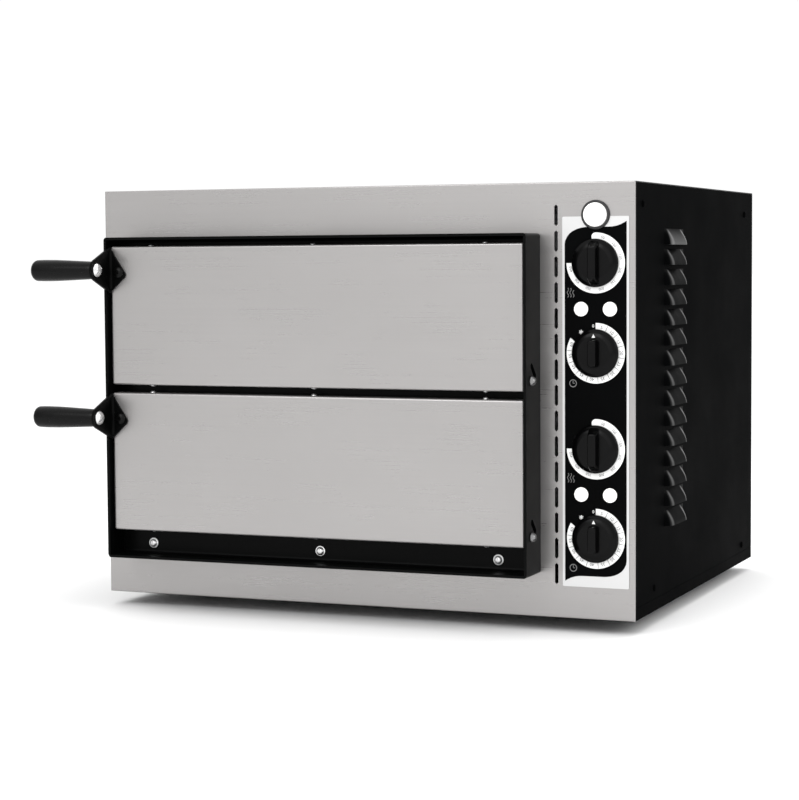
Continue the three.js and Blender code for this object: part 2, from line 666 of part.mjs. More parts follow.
function pilotLamp() {
  const { bezel, barrel, front, back } = LAMP;
  const seat = -GAP - LABEL.sheet - GAP;
  return turnedY([
    [0, front], [barrel * 0.75, front + 0.6], [barrel, front + 1.8], [bezel, front + 2.2], [bezel, seat],
    [barrel, seat], [barrel, back], [0, back],
  ]);
}

function switchHousing() {
  const { bezel, barrel, well, front, back } = SWITCH;
  const outer = turnedY([
    [0, front], [bezel - 0.8, front], [bezel, front + 0.8], [bezel, -GAP],
    [barrel, -GAP], [barrel, back], [0, back],
  ], 20);
  return cut(outer, cylinderY(well, front - THROUGH, 8, 0, 0, 20));
}

function switchButton() {
  const { cap, capFront } = SWITCH;
  return turnedY([
    [0, capFront], [cap - 3, capFront + 0.3], [cap - 0.6, capFront + 1],
    [cap, capFront + 1.8], [cap, 4], [0, 4],
  ], 20);
}

function buildControls() {
  add(oven, 'control_label', labelPlate(), labelMaterial);
  for (const dial of DIALS) {
    const spot = place(oven, CONTROL_X, 0, dial.z);
    add(spot, `${dial.name}_knob`, knob(), bakelite);
    add(spot, `${dial.name}_shaft`, shaft(), zincSteel);
    const isThermostat = dial.bulbDeck !== undefined;
    const regulator = isThermostat
      ? thermostat(dial.z, deckSills[dial.bulbDeck])
      : regulatorBody(REGULATOR.size + 6);
    add(spot, dial.name, regulator, greySteel);
  }
  for (const lamp of LAMPS) {
    add(place(oven, lamp.x, 0, lamp.z), lamp.name, pilotLamp(), lampMaterial);
  }
  const spot = place(oven, CONTROL_X, 0, SWITCH.z);
  add(spot, 'power_switch_housing', switchHousing(), bakelite);
  add(spot, 'power_switch_button', switchButton(), whitePlastic);
}

// ---------------------------------------------------------------- mains connection

function terminalBlock() {
  const { left, right, front, back, height } = TERMINALS;
  const bottom = SHEET + GAP;
  const base = block(left, right, front, back, bottom, bottom + height);
  const slots = [];
  for (let x = left + 13; x < right - 8; x += 13) {
    const floor = bottom + height - 8;
    slots.push(block(x - 1, x + 1, front - THROUGH, back + THROUGH, floor, bottom + height + THROUGH));
  }
  return cut(base, ...slots);
}

function cableGland() {
  const { hex, thread, bore, inside, outside } = GLAND;
  const skin = CABINET.depth;
  const nut = cylinderY(hex, skin + GAP, skin + 6, 0, 0, 6);
  const dome = turnedY([
    [0, skin + 5], [hex - 1.6, skin + 5], [hex - 1.6, skin + 10],
    [bore + 2.5, skin + outside], [0, skin + outside],
  ]);
  const stem = cylinderY(thread, skin - inside, skin + 2);
  const passage = cylinderY(bore, skin - inside - THROUGH, skin + outside + THROUGH, 0, 0, 12);
  return cut(join(nut, dome, stem), passage);
}

// ---------------------------------------------------------------- the whole oven

add(oven, 'front_panel', frontPanel(), brushedSteel);
add(oven, 'right_side_panel', rightSidePanel(), blackPaint);
add(oven, 'left_side_panel', leftSidePanel(), blackPaint);
add(oven, 'top_cover', topCover(), blackPaint);
add(oven, 'back_panel', backPanel(), greySteel);
add(oven, 'base_pan', basePan(), greySteel);
add(oven, 'partition_wall', partitionWall(), greySteel);
add(oven, 'door_surround', doorSurround(), blackPaint);
add(oven, 'insulation_core', insulationCore(), woolMaterial);

buildDeck('upper', deckSills[1]);
buildDeck('lower', deckSills[0]);
buildControls();

add(oven, 'terminal_block', terminalBlock(), ceramicMaterial);
add(place(oven, GLAND.x, 0, GLAND.z), 'cable_gland', cableGland(), rubberMaterial);

const footX = halfWidth - FOOT.insetX;
const footY = { front: FOOT.insetFront, rear: CABINET.depth - FOOT.insetBack };
for (const [end, y] of Object.entries(footY)) {
  for (const [side, x] of [['left', -footX], ['right', footX]]) {
    const upright = add(place(oven, x, y, 0), `${end}_${side}_foot`, foot(), rubberMaterial);
    upright.rotation.x = Math.PI / 2;
  }
}

oven.updateMatrixWorld(true);
const bounds = new THREE.Box3().setFromObject(oven, true);
const middle = bounds.getCenter(new THREE.Vector3());
oven.position.set(-middle.x, -middle.y, -bounds.min.z);

export default oven;
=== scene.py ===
"""Looks of the countertop pizza oven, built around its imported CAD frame.

Shapes are drawn in millimetres in the cabinet's own axes: X to the right from the middle of the front panel,
Y to the back from its outer face, Z up from its lower edge. make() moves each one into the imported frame.
"""

import math

import bmesh
import bpy
from mathutils import Matrix, Vector


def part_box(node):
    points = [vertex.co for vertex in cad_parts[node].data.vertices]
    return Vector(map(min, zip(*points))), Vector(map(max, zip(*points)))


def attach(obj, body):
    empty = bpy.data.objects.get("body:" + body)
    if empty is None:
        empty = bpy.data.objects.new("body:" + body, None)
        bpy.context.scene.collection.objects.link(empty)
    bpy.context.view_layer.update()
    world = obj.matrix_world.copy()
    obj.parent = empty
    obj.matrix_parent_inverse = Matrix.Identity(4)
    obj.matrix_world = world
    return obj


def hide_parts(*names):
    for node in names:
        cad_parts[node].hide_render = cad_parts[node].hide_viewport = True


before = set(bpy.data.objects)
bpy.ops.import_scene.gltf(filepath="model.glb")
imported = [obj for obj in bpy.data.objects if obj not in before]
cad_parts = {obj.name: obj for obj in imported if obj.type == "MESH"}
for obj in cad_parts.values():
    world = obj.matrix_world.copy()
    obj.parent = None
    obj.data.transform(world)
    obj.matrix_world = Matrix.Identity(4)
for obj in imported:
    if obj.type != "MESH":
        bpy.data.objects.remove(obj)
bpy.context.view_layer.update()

MM = 0.001
panel_low, panel_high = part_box("front_panel")
ORIGIN = Vector(((panel_low.x + panel_high.x) / 2, panel_low.y, panel_low.z))
INTO_FRAME = Matrix.Translation(ORIGIN) @ Matrix.Scale(MM, 4)


def mm_box(node):
    """A CAD node's box in millimetres, in the cabinet's axes."""
    low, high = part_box(node)
    return (low - ORIGIN) / MM, (high - ORIGIN) / MM


# ------------------------------------------------------------------ materials


class Nodes:
    """A material's node tree, with short ways to add what the surfaces here need."""

    def __init__(self, name):
        self.material = bpy.data.materials.new(name)
        self.material.use_nodes = True
        self.tree = self.material.node_tree
        self.shader = self.tree.nodes["Principled BSDF"]
        self.coords = self.add("ShaderNodeTexCoord").outputs["Object"]

    def add(self, kind, **values):
        node = self.tree.nodes.new(kind)
        for key, value in values.items():
            if key in node.inputs:
                node.inputs[key].default_value = value
            else:
                setattr(node, key, value)
        return node

    def link(self, source, target):
        self.tree.links.new(source, target)

    def noise(self, scale, stretch=(1, 1, 1), detail=3.0, roughness=0.55):
        mapping = self.add("ShaderNodeMapping")
        mapping.inputs["Scale"].default_value = stretch
        self.link(self.coords, mapping.inputs["Vector"])
        noise = self.add("ShaderNodeTexNoise", Scale=scale, Detail=detail, Roughness=roughness)
        self.link(mapping.outputs["Vector"], noise.inputs["Vector"])
        return noise.outputs["Fac"]

    def ranged(self, value, low, high, start=0.3, end=0.7):
        node = self.add("ShaderNodeMapRange")
        self.link(value, node.inputs["Value"])
        for key, number in (("From Min", start), ("From Max", end), ("To Min", low), ("To Max", high)):
            node.inputs[key].default_value = number
        return node.outputs["Result"]

    def tinted(self, value, dark, light, start=0.3, end=0.7):
        ramp = self.add("ShaderNodeValToRGB")
        ramp.color_ramp.elements[0].position = start
        ramp.color_ramp.elements[1].position = end
        ramp.color_ramp.elements[0].color = (*dark, 1)
        ramp.color_ramp.elements[1].color = (*light, 1)
        self.link(value, ramp.inputs["Fac"])
        return ramp.outputs["Color"]

    def mixed(self, first, second, share):
        mix = self.add("ShaderNodeMix", data_type="RGBA")
        if isinstance(share, float):
            mix.inputs["Factor"].default_value = share
        else:
            self.link(share, mix.inputs["Factor"])
        for source, key in ((first, 6), (second, 7)):
            if isinstance(source, tuple):
                mix.inputs[key].default_value = (*source, 1)
            else:
                self.link(source, mix.inputs[key])
        return mix.outputs[2]

    def bump(self, height, distance, strength=1.0, below=None):
        node = self.add("ShaderNodeBump", Strength=strength, Distance=distance)
        self.link(height, node.inputs["Height"])
        if below is not None:
            self.link(below, node.inputs["Normal"])
        return node.outputs["Normal"]

    def set(self, **values):
        for key, value in values.items():
            socket = self.shader.inputs[key.replace("_", " ")]
            if isinstance(value, bpy.types.NodeSocket):
                self.link(value, socket)
            else:
                socket.default_value = value
        return self.material


def scaled(color, factor):
    return tuple(min(1.0, c * factor) for c in color)


def brushed_steel(name, color, roughness=0.33, stretch=(4, 4, 900)):
    """Satin sheet steel: fine brush lines along X, broad soft cloudiness and a few wiped marks."""
    n = Nodes(name)
    lines = n.noise(1.0, stretch, detail=2.0, roughness=0.5)
    broad = n.noise(5.0, (1, 1, 1.6), detail=2.0)
    marks = n.noise(16.0, (1, 1, 2.2), detail=5.0, roughness=0.65)
    grained = n.tinted(lines, scaled(color, 0.975), scaled(color, 1.02), 0.25, 0.75)
    clouded = n.mixed(grained, n.tinted(broad, scaled(color, 0.95), scaled(color, 1.03)), 0.4)
    rough_lines = n.ranged(lines, roughness - 0.03, roughness + 0.04)
    rough_marks = n.ranged(marks, -0.02, 0.04, 0.35, 0.75)
    rough = n.add("ShaderNodeMath", operation="ADD")
    n.link(rough_lines, rough.inputs[0])
    n.link(rough_marks, rough.inputs[1])
    return n.set(
        Base_Color=clouded, Metallic=0.8, Roughness=rough.outputs[0], Normal=n.bump(lines, 0.00001, 0.08))


def painted_steel(name, color, roughness=0.42, grain=900.0, depth=0.00006, index=1.3):
    """Powder coat or enamel: orange peel, patchy gloss and a little dust. A lower index makes the coat
    reflect less, and so look darker.
    """
    n = Nodes(name)
    peel = n.noise(grain, detail=2.0)
    patches = n.noise(9.0, detail=4.0)
    specks = n.noise(1400.0, detail=1.0)
    base = n.tinted(patches, scaled(color, 0.8), scaled(color, 1.25))
    dusty = n.mixed(base, scaled(color, 2.6), n.ranged(specks, 0.0, 0.35, 0.62, 0.8))
    return n.set(
        Base_Color=dusty, Metallic=0.0, Roughness=n.ranged(patches, roughness - 0.06, roughness + 0.08),
        IOR=index, Normal=n.bump(peel, depth, 0.6))


def moulded_plastic(name, color, roughness=0.35, spec=0.5, depth=0.00003, index=1.5):
    n = Nodes(name)
    texture = n.noise(1600.0, detail=2.0)
    patches = n.noise(60.0, detail=3.0)
    return n.set(
        Base_Color=n.tinted(patches, scaled(color, 0.88), scaled(color, 1.1)),
        Roughness=n.ranged(patches, roughness - 0.05, roughness + 0.07),
        Specular_IOR_Level=spec, IOR=index, Normal=n.bump(texture, depth, 0.5))


def zinc_spangle(name, color, roughness=0.42):
    """Galvanised sheet with its faint crystal pattern."""
    n = Nodes(name)
    cells = n.add("ShaderNodeTexVoronoi", Scale=70.0, Randomness=1.0)
    n.link(n.coords, cells.inputs["Vector"])
    grey = n.tinted(cells.outputs["Color"], scaled(color, 0.86), scaled(color, 1.08), 0.2, 0.8)
    broad = n.noise(7.0)
    return n.set(
        Base_Color=n.mixed(grey, n.tinted(broad, scaled(color, 0.92), scaled(color, 1.03)), 0.5),
        Metallic=0.9, Roughness=n.ranged(broad, roughness - 0.06, roughness + 0.1),
        Normal=n.bump(n.noise(400.0), 0.00003, 0.4))


def heated_lining(name, color):
    """Aluminised steel that has been through many bakes: straw and brown tint in clouds."""
    n = Nodes(name)
    broad = n.noise(9.0, detail=5.0)
    fine = n.noise(160.0, detail=4.0)
    tint = n.tinted(broad, scaled(color, 1.05), (color[0] * 0.9, color[1] * 0.8, color[2] * 0.66), 0.42, 0.75)
    spotted = n.mixed(tint, (0.16, 0.11, 0.07), n.ranged(fine, 0.0, 0.45, 0.62, 0.8))
    return n.set(
        Base_Color=spotted, Metallic=0.85, Roughness=n.ranged(broad, 0.4, 0.6),
        Normal=n.bump(fine, 0.00008, 0.4))


def fire_stone(name, color):
    """Refractory slab: pale, gritty, with pores and flour-brown bake marks."""
    n = Nodes(name)
    grit = n.noise(700.0, detail=6.0, roughness=0.7)
    broad = n.noise(8.0, detail=5.0)
    pores = n.add("ShaderNodeTexVoronoi", Scale=260.0)
    n.link(n.coords, pores.inputs["Vector"])
    base = n.tinted(grit, scaled(color, 0.82), scaled(color, 1.08))
    baked = n.mixed(base, (0.30, 0.20, 0.12), n.ranged(broad, 0.0, 0.5, 0.52, 0.8))
    pits = n.ranged(pores.outputs["Distance"], 0.0, 1.0, 0.05, 0.3)
    return n.set(
        Base_Color=baked, Roughness=n.ranged(grit, 0.82, 0.97), Specular_IOR_Level=0.3,
        Normal=n.bump(pits, 0.0004, 0.5, n.bump(grit, 0.0003, 0.7)))


def mineral_wool(name, color):
    n = Nodes(name)
    fibres = n.noise(120.0, (1, 1, 6), detail=8.0, roughness=0.75)
    return n.set(
        Base_Color=n.tinted(fibres, scaled(color, 0.7), scaled(color, 1.08)),
        Roughness=n.ranged(fibres, 0.9, 1.0), Specular_IOR_Level=0.1, Normal=n.bump(fibres, 0.002, 0.9))


def oxidised_sheath(name, color):
    n = Nodes(name)
    scale = n.noise(300.0, detail=5.0, roughness=0.7)
    broad = n.noise(14.0)
    return n.set(
        Base_Color=n.mixed(
            n.tinted(scale, scaled(color, 0.6), scaled(color, 1.3)), scaled(color, 1.1),
            n.ranged(broad, 0.0, 0.6)),
        Metallic=0.7, Roughness=n.ranged(scale, 0.42, 0.68), Normal=n.bump(scale, 0.0001, 0.6))


def glazed_white(name, color, roughness=0.14, glow=0.0):
    """Glossy white moulding: faint yellowing in patches, and a soft glow in a lamp's lens."""
    n = Nodes(name)
    patches = n.noise(120.0, detail=2.0)
    n.set(Coat_Weight=0.3, Coat_Roughness=0.08)
    if glow:
        n.set(Emission_Color=(1.0, 0.98, 0.95, 1), Emission_Strength=glow)
    return n.set(
        Base_Color=n.tinted(patches, scaled(color, 0.97), scaled(color, 1.01)),
        Roughness=n.ranged(patches, roughness - 0.03, roughness + 0.05), Specular_IOR_Level=0.5,
        Normal=n.bump(n.noise(900.0), 0.00001, 0.3))


def paint_with_painted_highlights(name, color, highlight, roughness, index):
    """Powder coat on pressed sheet, its colour mixed towards a grey painted highlight where the vertex
    attribute is high.
    """
    n = Nodes(name)
    painted_highlight = n.add("ShaderNodeAttribute", attribute_name="painted_highlight").outputs["Fac"]
    patches = n.noise(40.0, detail=3.0)
    return n.set(
        Base_Color=n.mixed(n.tinted(patches, scaled(color, 0.8), scaled(color, 1.3)), highlight, painted_highlight),
        Roughness=n.ranged(patches, roughness - 0.05, roughness + 0.07), IOR=index,
        Normal=n.bump(n.noise(900.0, detail=2.0), 0.00005, 0.5))


STEEL = brushed_steel("satin_steel", (0.342, 0.332, 0.328), 0.3)
SILVER_FOIL = brushed_steel("silver_foil", (0.60, 0.60, 0.60), 0.42, (4, 4, 1600))
# Painted shade: this copy of the black coat has a darker base and a much lower index than the copy in light
# below. It is used for the right side sheet, the base sheet and the side screws.
BLACK_CASE_SHADED = painted_steel("black_powder_coat_painted_shade", (0.0012, 0.0013, 0.0014), 0.5, index=1.025)
BLACK_OPEN = painted_steel("black_powder_coat_in_light", (0.005, 0.0052, 0.0054), 0.45, index=1.22)
# Painted highlights and shade: the louvres' coat is as dark as the shaded copy above. It turns lighter grey
# where light catches the crests and the top louvre's face.
BLACK_LOUVRE_HIGHLIGHTED = paint_with_painted_highlights(
    "black_powder_coat_painted_highlights", (0.0012, 0.0013, 0.0014), (0.34, 0.34, 0.34), 0.34, 1.035)
BLACK_ENAMEL = painted_steel("black_enamel", (0.0014, 0.0015, 0.0015), 0.34, 700.0, 0.00004, 1.13)
FIELD_INK = painted_steel("black_ink", (0.002, 0.0021, 0.0022), 0.55, 1800.0, 0.00002, 1.05)
WHITE_INK = moulded_plastic("white_ink", (0.86, 0.86, 0.85), 0.5, 0.4, 0.00001)
GREY_INK = moulded_plastic("grey_ink", (0.16, 0.16, 0.16), 0.5, 0.4, 0.00001)
DARK_INK = moulded_plastic("dark_ink", (0.10, 0.10, 0.105), 0.55, 0.3, 0.00001)
GALVANISED = zinc_spangle("galvanised_sheet", (0.56, 0.57, 0.58))
LINING = heated_lining("aluminised_lining_steel", (0.62, 0.61, 0.59))
STONE = fire_stone("fire_stone", (0.66, 0.56, 0.43))
WOOL = mineral_wool("mineral_wool_slab", (0.72, 0.68, 0.56))
SHEATH = oxidised_sheath("oxidised_sheath", (0.13, 0.12, 0.11))
BAKELITE = moulded_plastic("black_bakelite", (0.0012, 0.0012, 0.0013), 0.2, 0.5, 0.00004, 1.2)
GRIP_SATIN = moulded_plastic("grip_satin", (0.0016, 0.0016, 0.0016), 0.27, 0.5, 0.00007, 1.22)
BLACK_NYLON = moulded_plastic("black_nylon", (0.016, 0.016, 0.017), 0.5, 0.4, 0.00008)
RUBBER = moulded_plastic("foot_rubber", (0.02, 0.02, 0.02), 0.75, 0.25, 0.00015)
ZINC = zinc_spangle("bright_zinc", (0.72, 0.72, 0.72), 0.25)
# A darker copy of the bright zinc, for the hinge screw heads on the surround's sides.
DARK_ZINC = zinc_spangle("darker_zinc", (0.22, 0.22, 0.22), 0.3)
WHITE_CAP = glazed_white("white_cap", (0.93, 0.93, 0.925), 0.16, 0.25)
LAMP_LENS = glazed_white("lamp_lens_white", (0.93, 0.925, 0.91), 0.12, 0.3)
CERAMIC = glazed_white("steatite", (0.80, 0.76, 0.68), 0.5)

# ------------------------------------------------------------------ mesh helpers, in millimetres


def make(name, bm, material, body, replaces=(), sharp=35, weighted=True, modifiers=()):
    """Turns a bmesh in millimetres into a finished piece that rides on a body."""
    bmesh.ops.recalc_face_normals(bm, faces=bm.faces)
    bmesh.ops.transform(bm, matrix=INTO_FRAME, verts=bm.verts)
    mesh = bpy.data.meshes.new(name)
    bm.to_mesh(mesh)
    bm.free()
    if "custom_normal" in mesh.attributes:
        mesh.attributes.remove(mesh.attributes["custom_normal"])
    obj = bpy.data.objects.new(name, mesh)
    bpy.context.scene.collection.objects.link(obj)
    for kind, values in modifiers:
        modifier = obj.modifiers.new(kind, kind)
        for key, value in values.items():
            setattr(modifier, key, value)
    if modifiers:
        apply_modifiers(obj)
    obj.data.materials.append(material)
    for polygon in obj.data.polygons:
        polygon.use_smooth = True
    obj.data.set_sharp_from_angle(angle=math.radians(sharp))
    if weighted:
        normals = obj.modifiers.new("normals", "WEIGHTED_NORMAL")
        normals.keep_sharp = True
    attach(obj, body)
    if replaces:
        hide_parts(*replaces)


def apply_modifiers(obj):
    evaluated = obj.evaluated_get(bpy.context.evaluated_depsgraph_get())
    solid = bpy.data.meshes.new_from_object(evaluated)
    obj.modifiers.clear()
    old, obj.data = obj.data, solid
    bpy.data.meshes.remove(old)


def block(low, high):
    """A new box between two corners, as a start for bevels and cuts."""
    low, high = Vector(low), Vector(high)
    matrix = Matrix.Translation((low + high) / 2) @ Matrix.Diagonal((*(high - low), 1))
    bm = bmesh.new()
    bmesh.ops.create_cube(bm, size=1, matrix=matrix)
    return bm


def bevel(bm, width, segments=3, where=None, angle=35):
    limit = math.radians(angle)
    edges = [
        e for e in bm.edges
        if len(e.link_faces) == 2 and e.calc_face_angle(0) > limit and (where is None or where(e))
    ]
    if edges:
        bmesh.ops.bevel(
            bm, geom=edges, offset=width, offset_type="OFFSET", segments=segments, profile=0.5,
            affect="EDGES", clamp_overlap=True)


AXES = {
    "X": lambda a, b, along: (along, a, b),
    "Y": lambda a, b, along: (a, along, b),
    "Z": lambda a, b, along: (a, b, along),
}


def lathe(bm, profile, centre, axis, segments):
    """Turns a profile of (radius, distance along the axis) that starts and ends on the axis."""
    place, centre = AXES[axis], Vector(centre)
    rings = []
    for radius, along in profile:
        if radius < 1e-6:
            rings.append([bm.verts.new(centre + Vector(place(0, 0, along)))])
            continue
        angles = [2 * math.pi * i / segments for i in range(segments)]
        rings.append([
            bm.verts.new(centre + Vector(place(radius * math.cos(t), radius * math.sin(t), along)))
            for t in angles])
    for a, b in zip(rings, rings[1:]):
        for i in range(segments):
            j = (i + 1) % segments
            corners = [a[i % len(a)], a[j % len(a)], b[j % len(b)], b[i % len(b)]]
            corners = [v for k, v in enumerate(corners) if v not in corners[:k]]
            if len(corners) > 2:
                bm.faces.new(corners)


def turned(profile, centre, axis, segments, rounding=0, steps=4):
    """A new solid turned from a profile, with the profile's corners rounded."""
    bm = bmesh.new()
    lathe(bm, fillet(profile, rounding, steps) if rounding else profile, centre, axis, segments)
    return bm


def prism(bm, outline, axis, low, high):
    """An outline swept along an axis. It is drawn in the other two axes, in X, Y, Z order."""
    place = AXES[axis]
    count = len(outline)
    back = [bm.verts.new(place(a, b, low)) for a, b in outline]
    front = [bm.verts.new(place(a, b, high)) for a, b in outline]
    bm.faces.new(back)
    bm.faces.new(front)
    for i in range(count):
        j = (i + 1) % count
        bm.faces.new((back[i], back[j], front[j], front[i]))
    return back, front


def fillet(points, radius, steps=4, closed=False):
    """Rounds the corners of an outline or profile."""
    count = len(points)
    rounded = []
    for i, point in enumerate(points):
        if not closed and i in (0, count - 1):
            rounded.append(tuple(point))
            continue
        p = Vector(point)
        before, after = Vector(points[i - 1]), Vector(points[(i + 1) % count])
        reach = min(radius, (before - p).length * 0.48, (after - p).length * 0.48)
        a = p + (before - p).normalized() * reach
        b = p + (after - p).normalized() * reach
        for k in range(steps + 1):
            t = k / steps
            rounded.append(tuple(a * (1 - t) ** 2 + p * 2 * t * (1 - t) + b * t ** 2))
    return rounded


def rounded_box_outline(x0, x1, z0, z1, radius, steps=5):
    return fillet([(x0, z0), (x1, z0), (x1, z1), (x0, z1)], radius, steps, closed=True)


def tube(bm, points, radius, sides=14):
    """A round bar along a path that lies in a level plane."""
    rings = []
    up = Vector((0, 0, 1))
    for i, point in enumerate(points):
        before, after = points[max(i - 1, 0)], points[min(i + 1, len(points) - 1)]
        across = (Vector(after) - Vector(before)).normalized().cross(up)
        rings.append([
            bm.verts.new(Vector(point) + (across * math.cos(t) + up * math.sin(t)) * radius)
            for t in (2 * math.pi * k / sides for k in range(sides))])
    for a, b in zip(rings, rings[1:]):
        for k in range(sides):
            j = (k + 1) % sides
            bm.faces.new((a[k], a[j], b[j], b[k]))
    bm.faces.new(rings[0])
    bm.faces.new(rings[-1])


def combine(target, tool, operation):
    """The target cut by the tool, or joined with it, as one clean solid."""
    objects = []
    for bm in (target, tool):
        bmesh.ops.recalc_face_normals(bm, faces=bm.faces)
        mesh = bpy.data.meshes.new("work")
        bm.to_mesh(mesh)
        bm.free()
        objects.append(bpy.data.objects.new("work", mesh))
        bpy.context.scene.collection.objects.link(objects[-1])
    modifier = objects[0].modifiers.new("cut", "BOOLEAN")
    modifier.operation = operation
    modifier.solver = "EXACT"
    modifier.object = objects[1]
    evaluated = objects[0].evaluated_get(bpy.context.evaluated_depsgraph_get())
    solid = bpy.data.meshes.new_from_object(evaluated)
    result = bmesh.new()
    result.from_mesh(solid)
    bpy.data.meshes.remove(solid)
    for obj in objects:
        mesh = obj.data
        bpy.data.objects.remove(obj)
        bpy.data.meshes.remove(mesh)
    bmesh.ops.remove_doubles(result, verts=result.verts, dist=0.002)
    return result


def carve(target, tool):
    return combine(target, tool, "DIFFERENCE")


def unite(target, tool):
    return combine(target, tool, "UNION")


def refined(node, width, segments=2, rules=()):
    """The CAD node's own shape, edges rounded. Rules (which edges, width, segments) come first."""
    bm = bmesh.new()
    bm.from_mesh(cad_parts[node].data)
    bmesh.ops.transform(bm, matrix=INTO_FRAME.inverted(), verts=bm.verts)
    bmesh.ops.remove_doubles(bm, verts=bm.verts, dist=0.002)
    bmesh.ops.dissolve_limit(bm, angle_limit=math.radians(0.5), verts=bm.verts, edges=bm.edges)
    for where, rule_width, rule_segments in rules:
        bevel(bm, rule_width, rule_segments, where)
    if width:
        bevel(bm, width, segments)
    return bm


def middle(edge):
    return (edge.verts[0].co + edge.verts[1].co) / 2


def runs_along(edge, axis):
    along = (edge.verts[1].co - edge.verts[0].co).normalized()
    return abs(along["XYZ".index(axis)]) > 0.999


def near(value, target, reach=0.2):
    return abs(value - target) < reach


# ------------------------------------------------------------------ casing

CASE_LOW, CASE_HIGH = mm_box("front_panel")
HALF = CASE_HIGH.x
HEIGHT = CASE_HIGH.z
DEPTH = mm_box("back_panel")[1].y


def panel_rim(edge):
    m = middle(edge)
    rim = near(abs(m.x), HALF) or near(m.z, 0) or near(m.z, HEIGHT)
    return rim and near(m.y, 0)


make(
    "front_panel_steel", refined("front_panel", 0.15, 1, [(panel_rim, 2.0, 4)]), STEEL, "cabinet",
    ["front_panel"])
make("left_side_sheet", refined("left_side_panel", 0.45), BLACK_OPEN, "cabinet",
     ["left_side_panel"])
make("top_sheet", refined("top_cover", 0.45), BLACK_OPEN, "cabinet", ["top_cover"])
make("back_sheet", refined("back_panel", 0.3), GALVANISED, "cabinet", ["back_panel"])
make("base_sheet", refined("base_pan", 0.4), BLACK_CASE_SHADED, "cabinet", ["base_pan"])

LOUVRE = {"y": 101.0, "length": 71.0, "top": 372.3, "height": 15.5, "pitch": 19.83, "count": 15, "proud": 7.3}
LOUVRE_COLUMNS, LOUVRE_ROWS = 36, 8
END_STEEPNESS = 5.0               # how fast a louvre rises from its ends
CREST_HIGHLIGHTS = ((0.45, 0.15, 0.03), (1.0, 0.83, 0.025))   # painted highlights on the louvres' crests: how bright, where along the louvre, how wide
TOP_FACE_HIGHLIGHT = 0.25               # painted highlight on the top louvre's whole face, which is lit from above with no louvre over it


def louvred_side():
    """The right-hand sheet and its pressed louvres, each one lifted most at its open lower edge."""
    low, high = mm_box("right_side_panel")
    sheet, hoods = bmesh.new(), bmesh.new()
    painted_highlight = hoods.verts.layers.float.new("painted_highlight")
    steps = range(LOUVRE_COLUMNS + 1)
    from_end = [min(i, LOUVRE_COLUMNS - i) / LOUVRE_COLUMNS for i in steps]
    swell = [math.sin(math.pi / 2 * min(1.0, share * END_STEEPNESS)) for share in from_end]
    ys = [LOUVRE["y"] + LOUVRE["length"] * i / LOUVRE_COLUMNS for i in steps]

    def patch(bm, y0, y1, z0, z1):
        bm.faces.new([bm.verts.new((HALF, y, z)) for y, z in ((y0, z0), (y1, z0), (y1, z1), (y0, z1))])

    patch(sheet, low.y, ys[0], low.z, high.z)
    patch(sheet, ys[-1], high.y, low.z, high.z)
    above = high.z
    for k in range(LOUVRE["count"]):
        top = LOUVRE["top"] - k * LOUVRE["pitch"]
        patch(sheet, ys[0], ys[-1], top, above)
        above = top - LOUVRE["height"]
        rows = []
        for j in range(LOUVRE_ROWS + 1):
            v = j / LOUVRE_ROWS
            rise = LOUVRE["proud"] * math.sin(v * math.pi / 2) ** 1.15
            rows.append([
                hoods.verts.new((HALF + rise * s, y, top - LOUVRE["height"] * v)) for y, s in zip(ys, swell)])
            # Painted highlights: a vertex value that lightens the colour along the crests and on the top
            # louvre's face.
            for i, vert in enumerate(rows[-1]):
                t = i / LOUVRE_COLUMNS
                crest_highlights = sum(highlight * math.exp(-((t - place) / width) ** 2) for highlight, place, width in CREST_HIGHLIGHTS)
                face_highlight = TOP_FACE_HIGHLIGHT if k == 0 and 0.1 < t < 0.9 else 0.0
                vert[painted_highlight] = min(1.0, crest_highlights * (1.0 - 0.5 * v) * min(1.0, v * 5) + face_highlight * v)
        for upper, lower in zip(rows, rows[1:]):
            for i in range(LOUVRE_COLUMNS):
                hoods.faces.new((upper[i], upper[i + 1], lower[i + 1], lower[i]))
    patch(sheet, ys[0], ys[-1], low.z, above)
    bmesh.ops.remove_doubles(sheet, verts=sheet.verts, dist=0.001)
    return sheet, hoods




def sheet_metal(thickness):
    return [("SOLIDIFY", {"thickness": thickness * MM, "offset": -1.0, "use_rim": True})]


SHEET_STEEL = sheet_metal(1.2)
side_sheet, side_hoods = louvred_side()
make(
    "right_side_sheet", side_sheet, BLACK_CASE_SHADED, "cabinet", ["right_side_panel"],
    weighted=False, modifiers=SHEET_STEEL)
make(
    "right_side_louvres", side_hoods, BLACK_LOUVRE_HIGHLIGHTED, "cabinet", sharp=50,
    weighted=False, modifiers=SHEET_STEEL)


def cap_screw(bm, x, y, z, facing, radius=3.5, height=1.7):
    """A low domed screw head that stands on a sheet and faces along +X, -X, +Y, -Y or +Z."""
    axis = facing[1]
    sign = 1 if facing[0] == "+" else -1
    profile = [(0, height), (radius * 0.55, height), (radius, height * 0.35), (radius, -0.2), (0, -0.2)]
    lathe(bm, [(r, a * sign) for r, a in fillet(profile, 0.8)], (x, y, z), axis, 24)


SIDE_SCREWS_YZ = ((26, 395), (435, 391), (427, 20), (66, 23))
REAR_EDGE_X, REAR_SCREWS_X = 270, (-270, -90, 90, 270)
side_screws = bmesh.new()
for y, z in SIDE_SCREWS_YZ:
    cap_screw(side_screws, HALF, y, z, "+X")
    cap_screw(side_screws, -HALF, y, z, "-X")
make("side_panel_screws", side_screws, BLACK_CASE_SHADED, "cabinet")

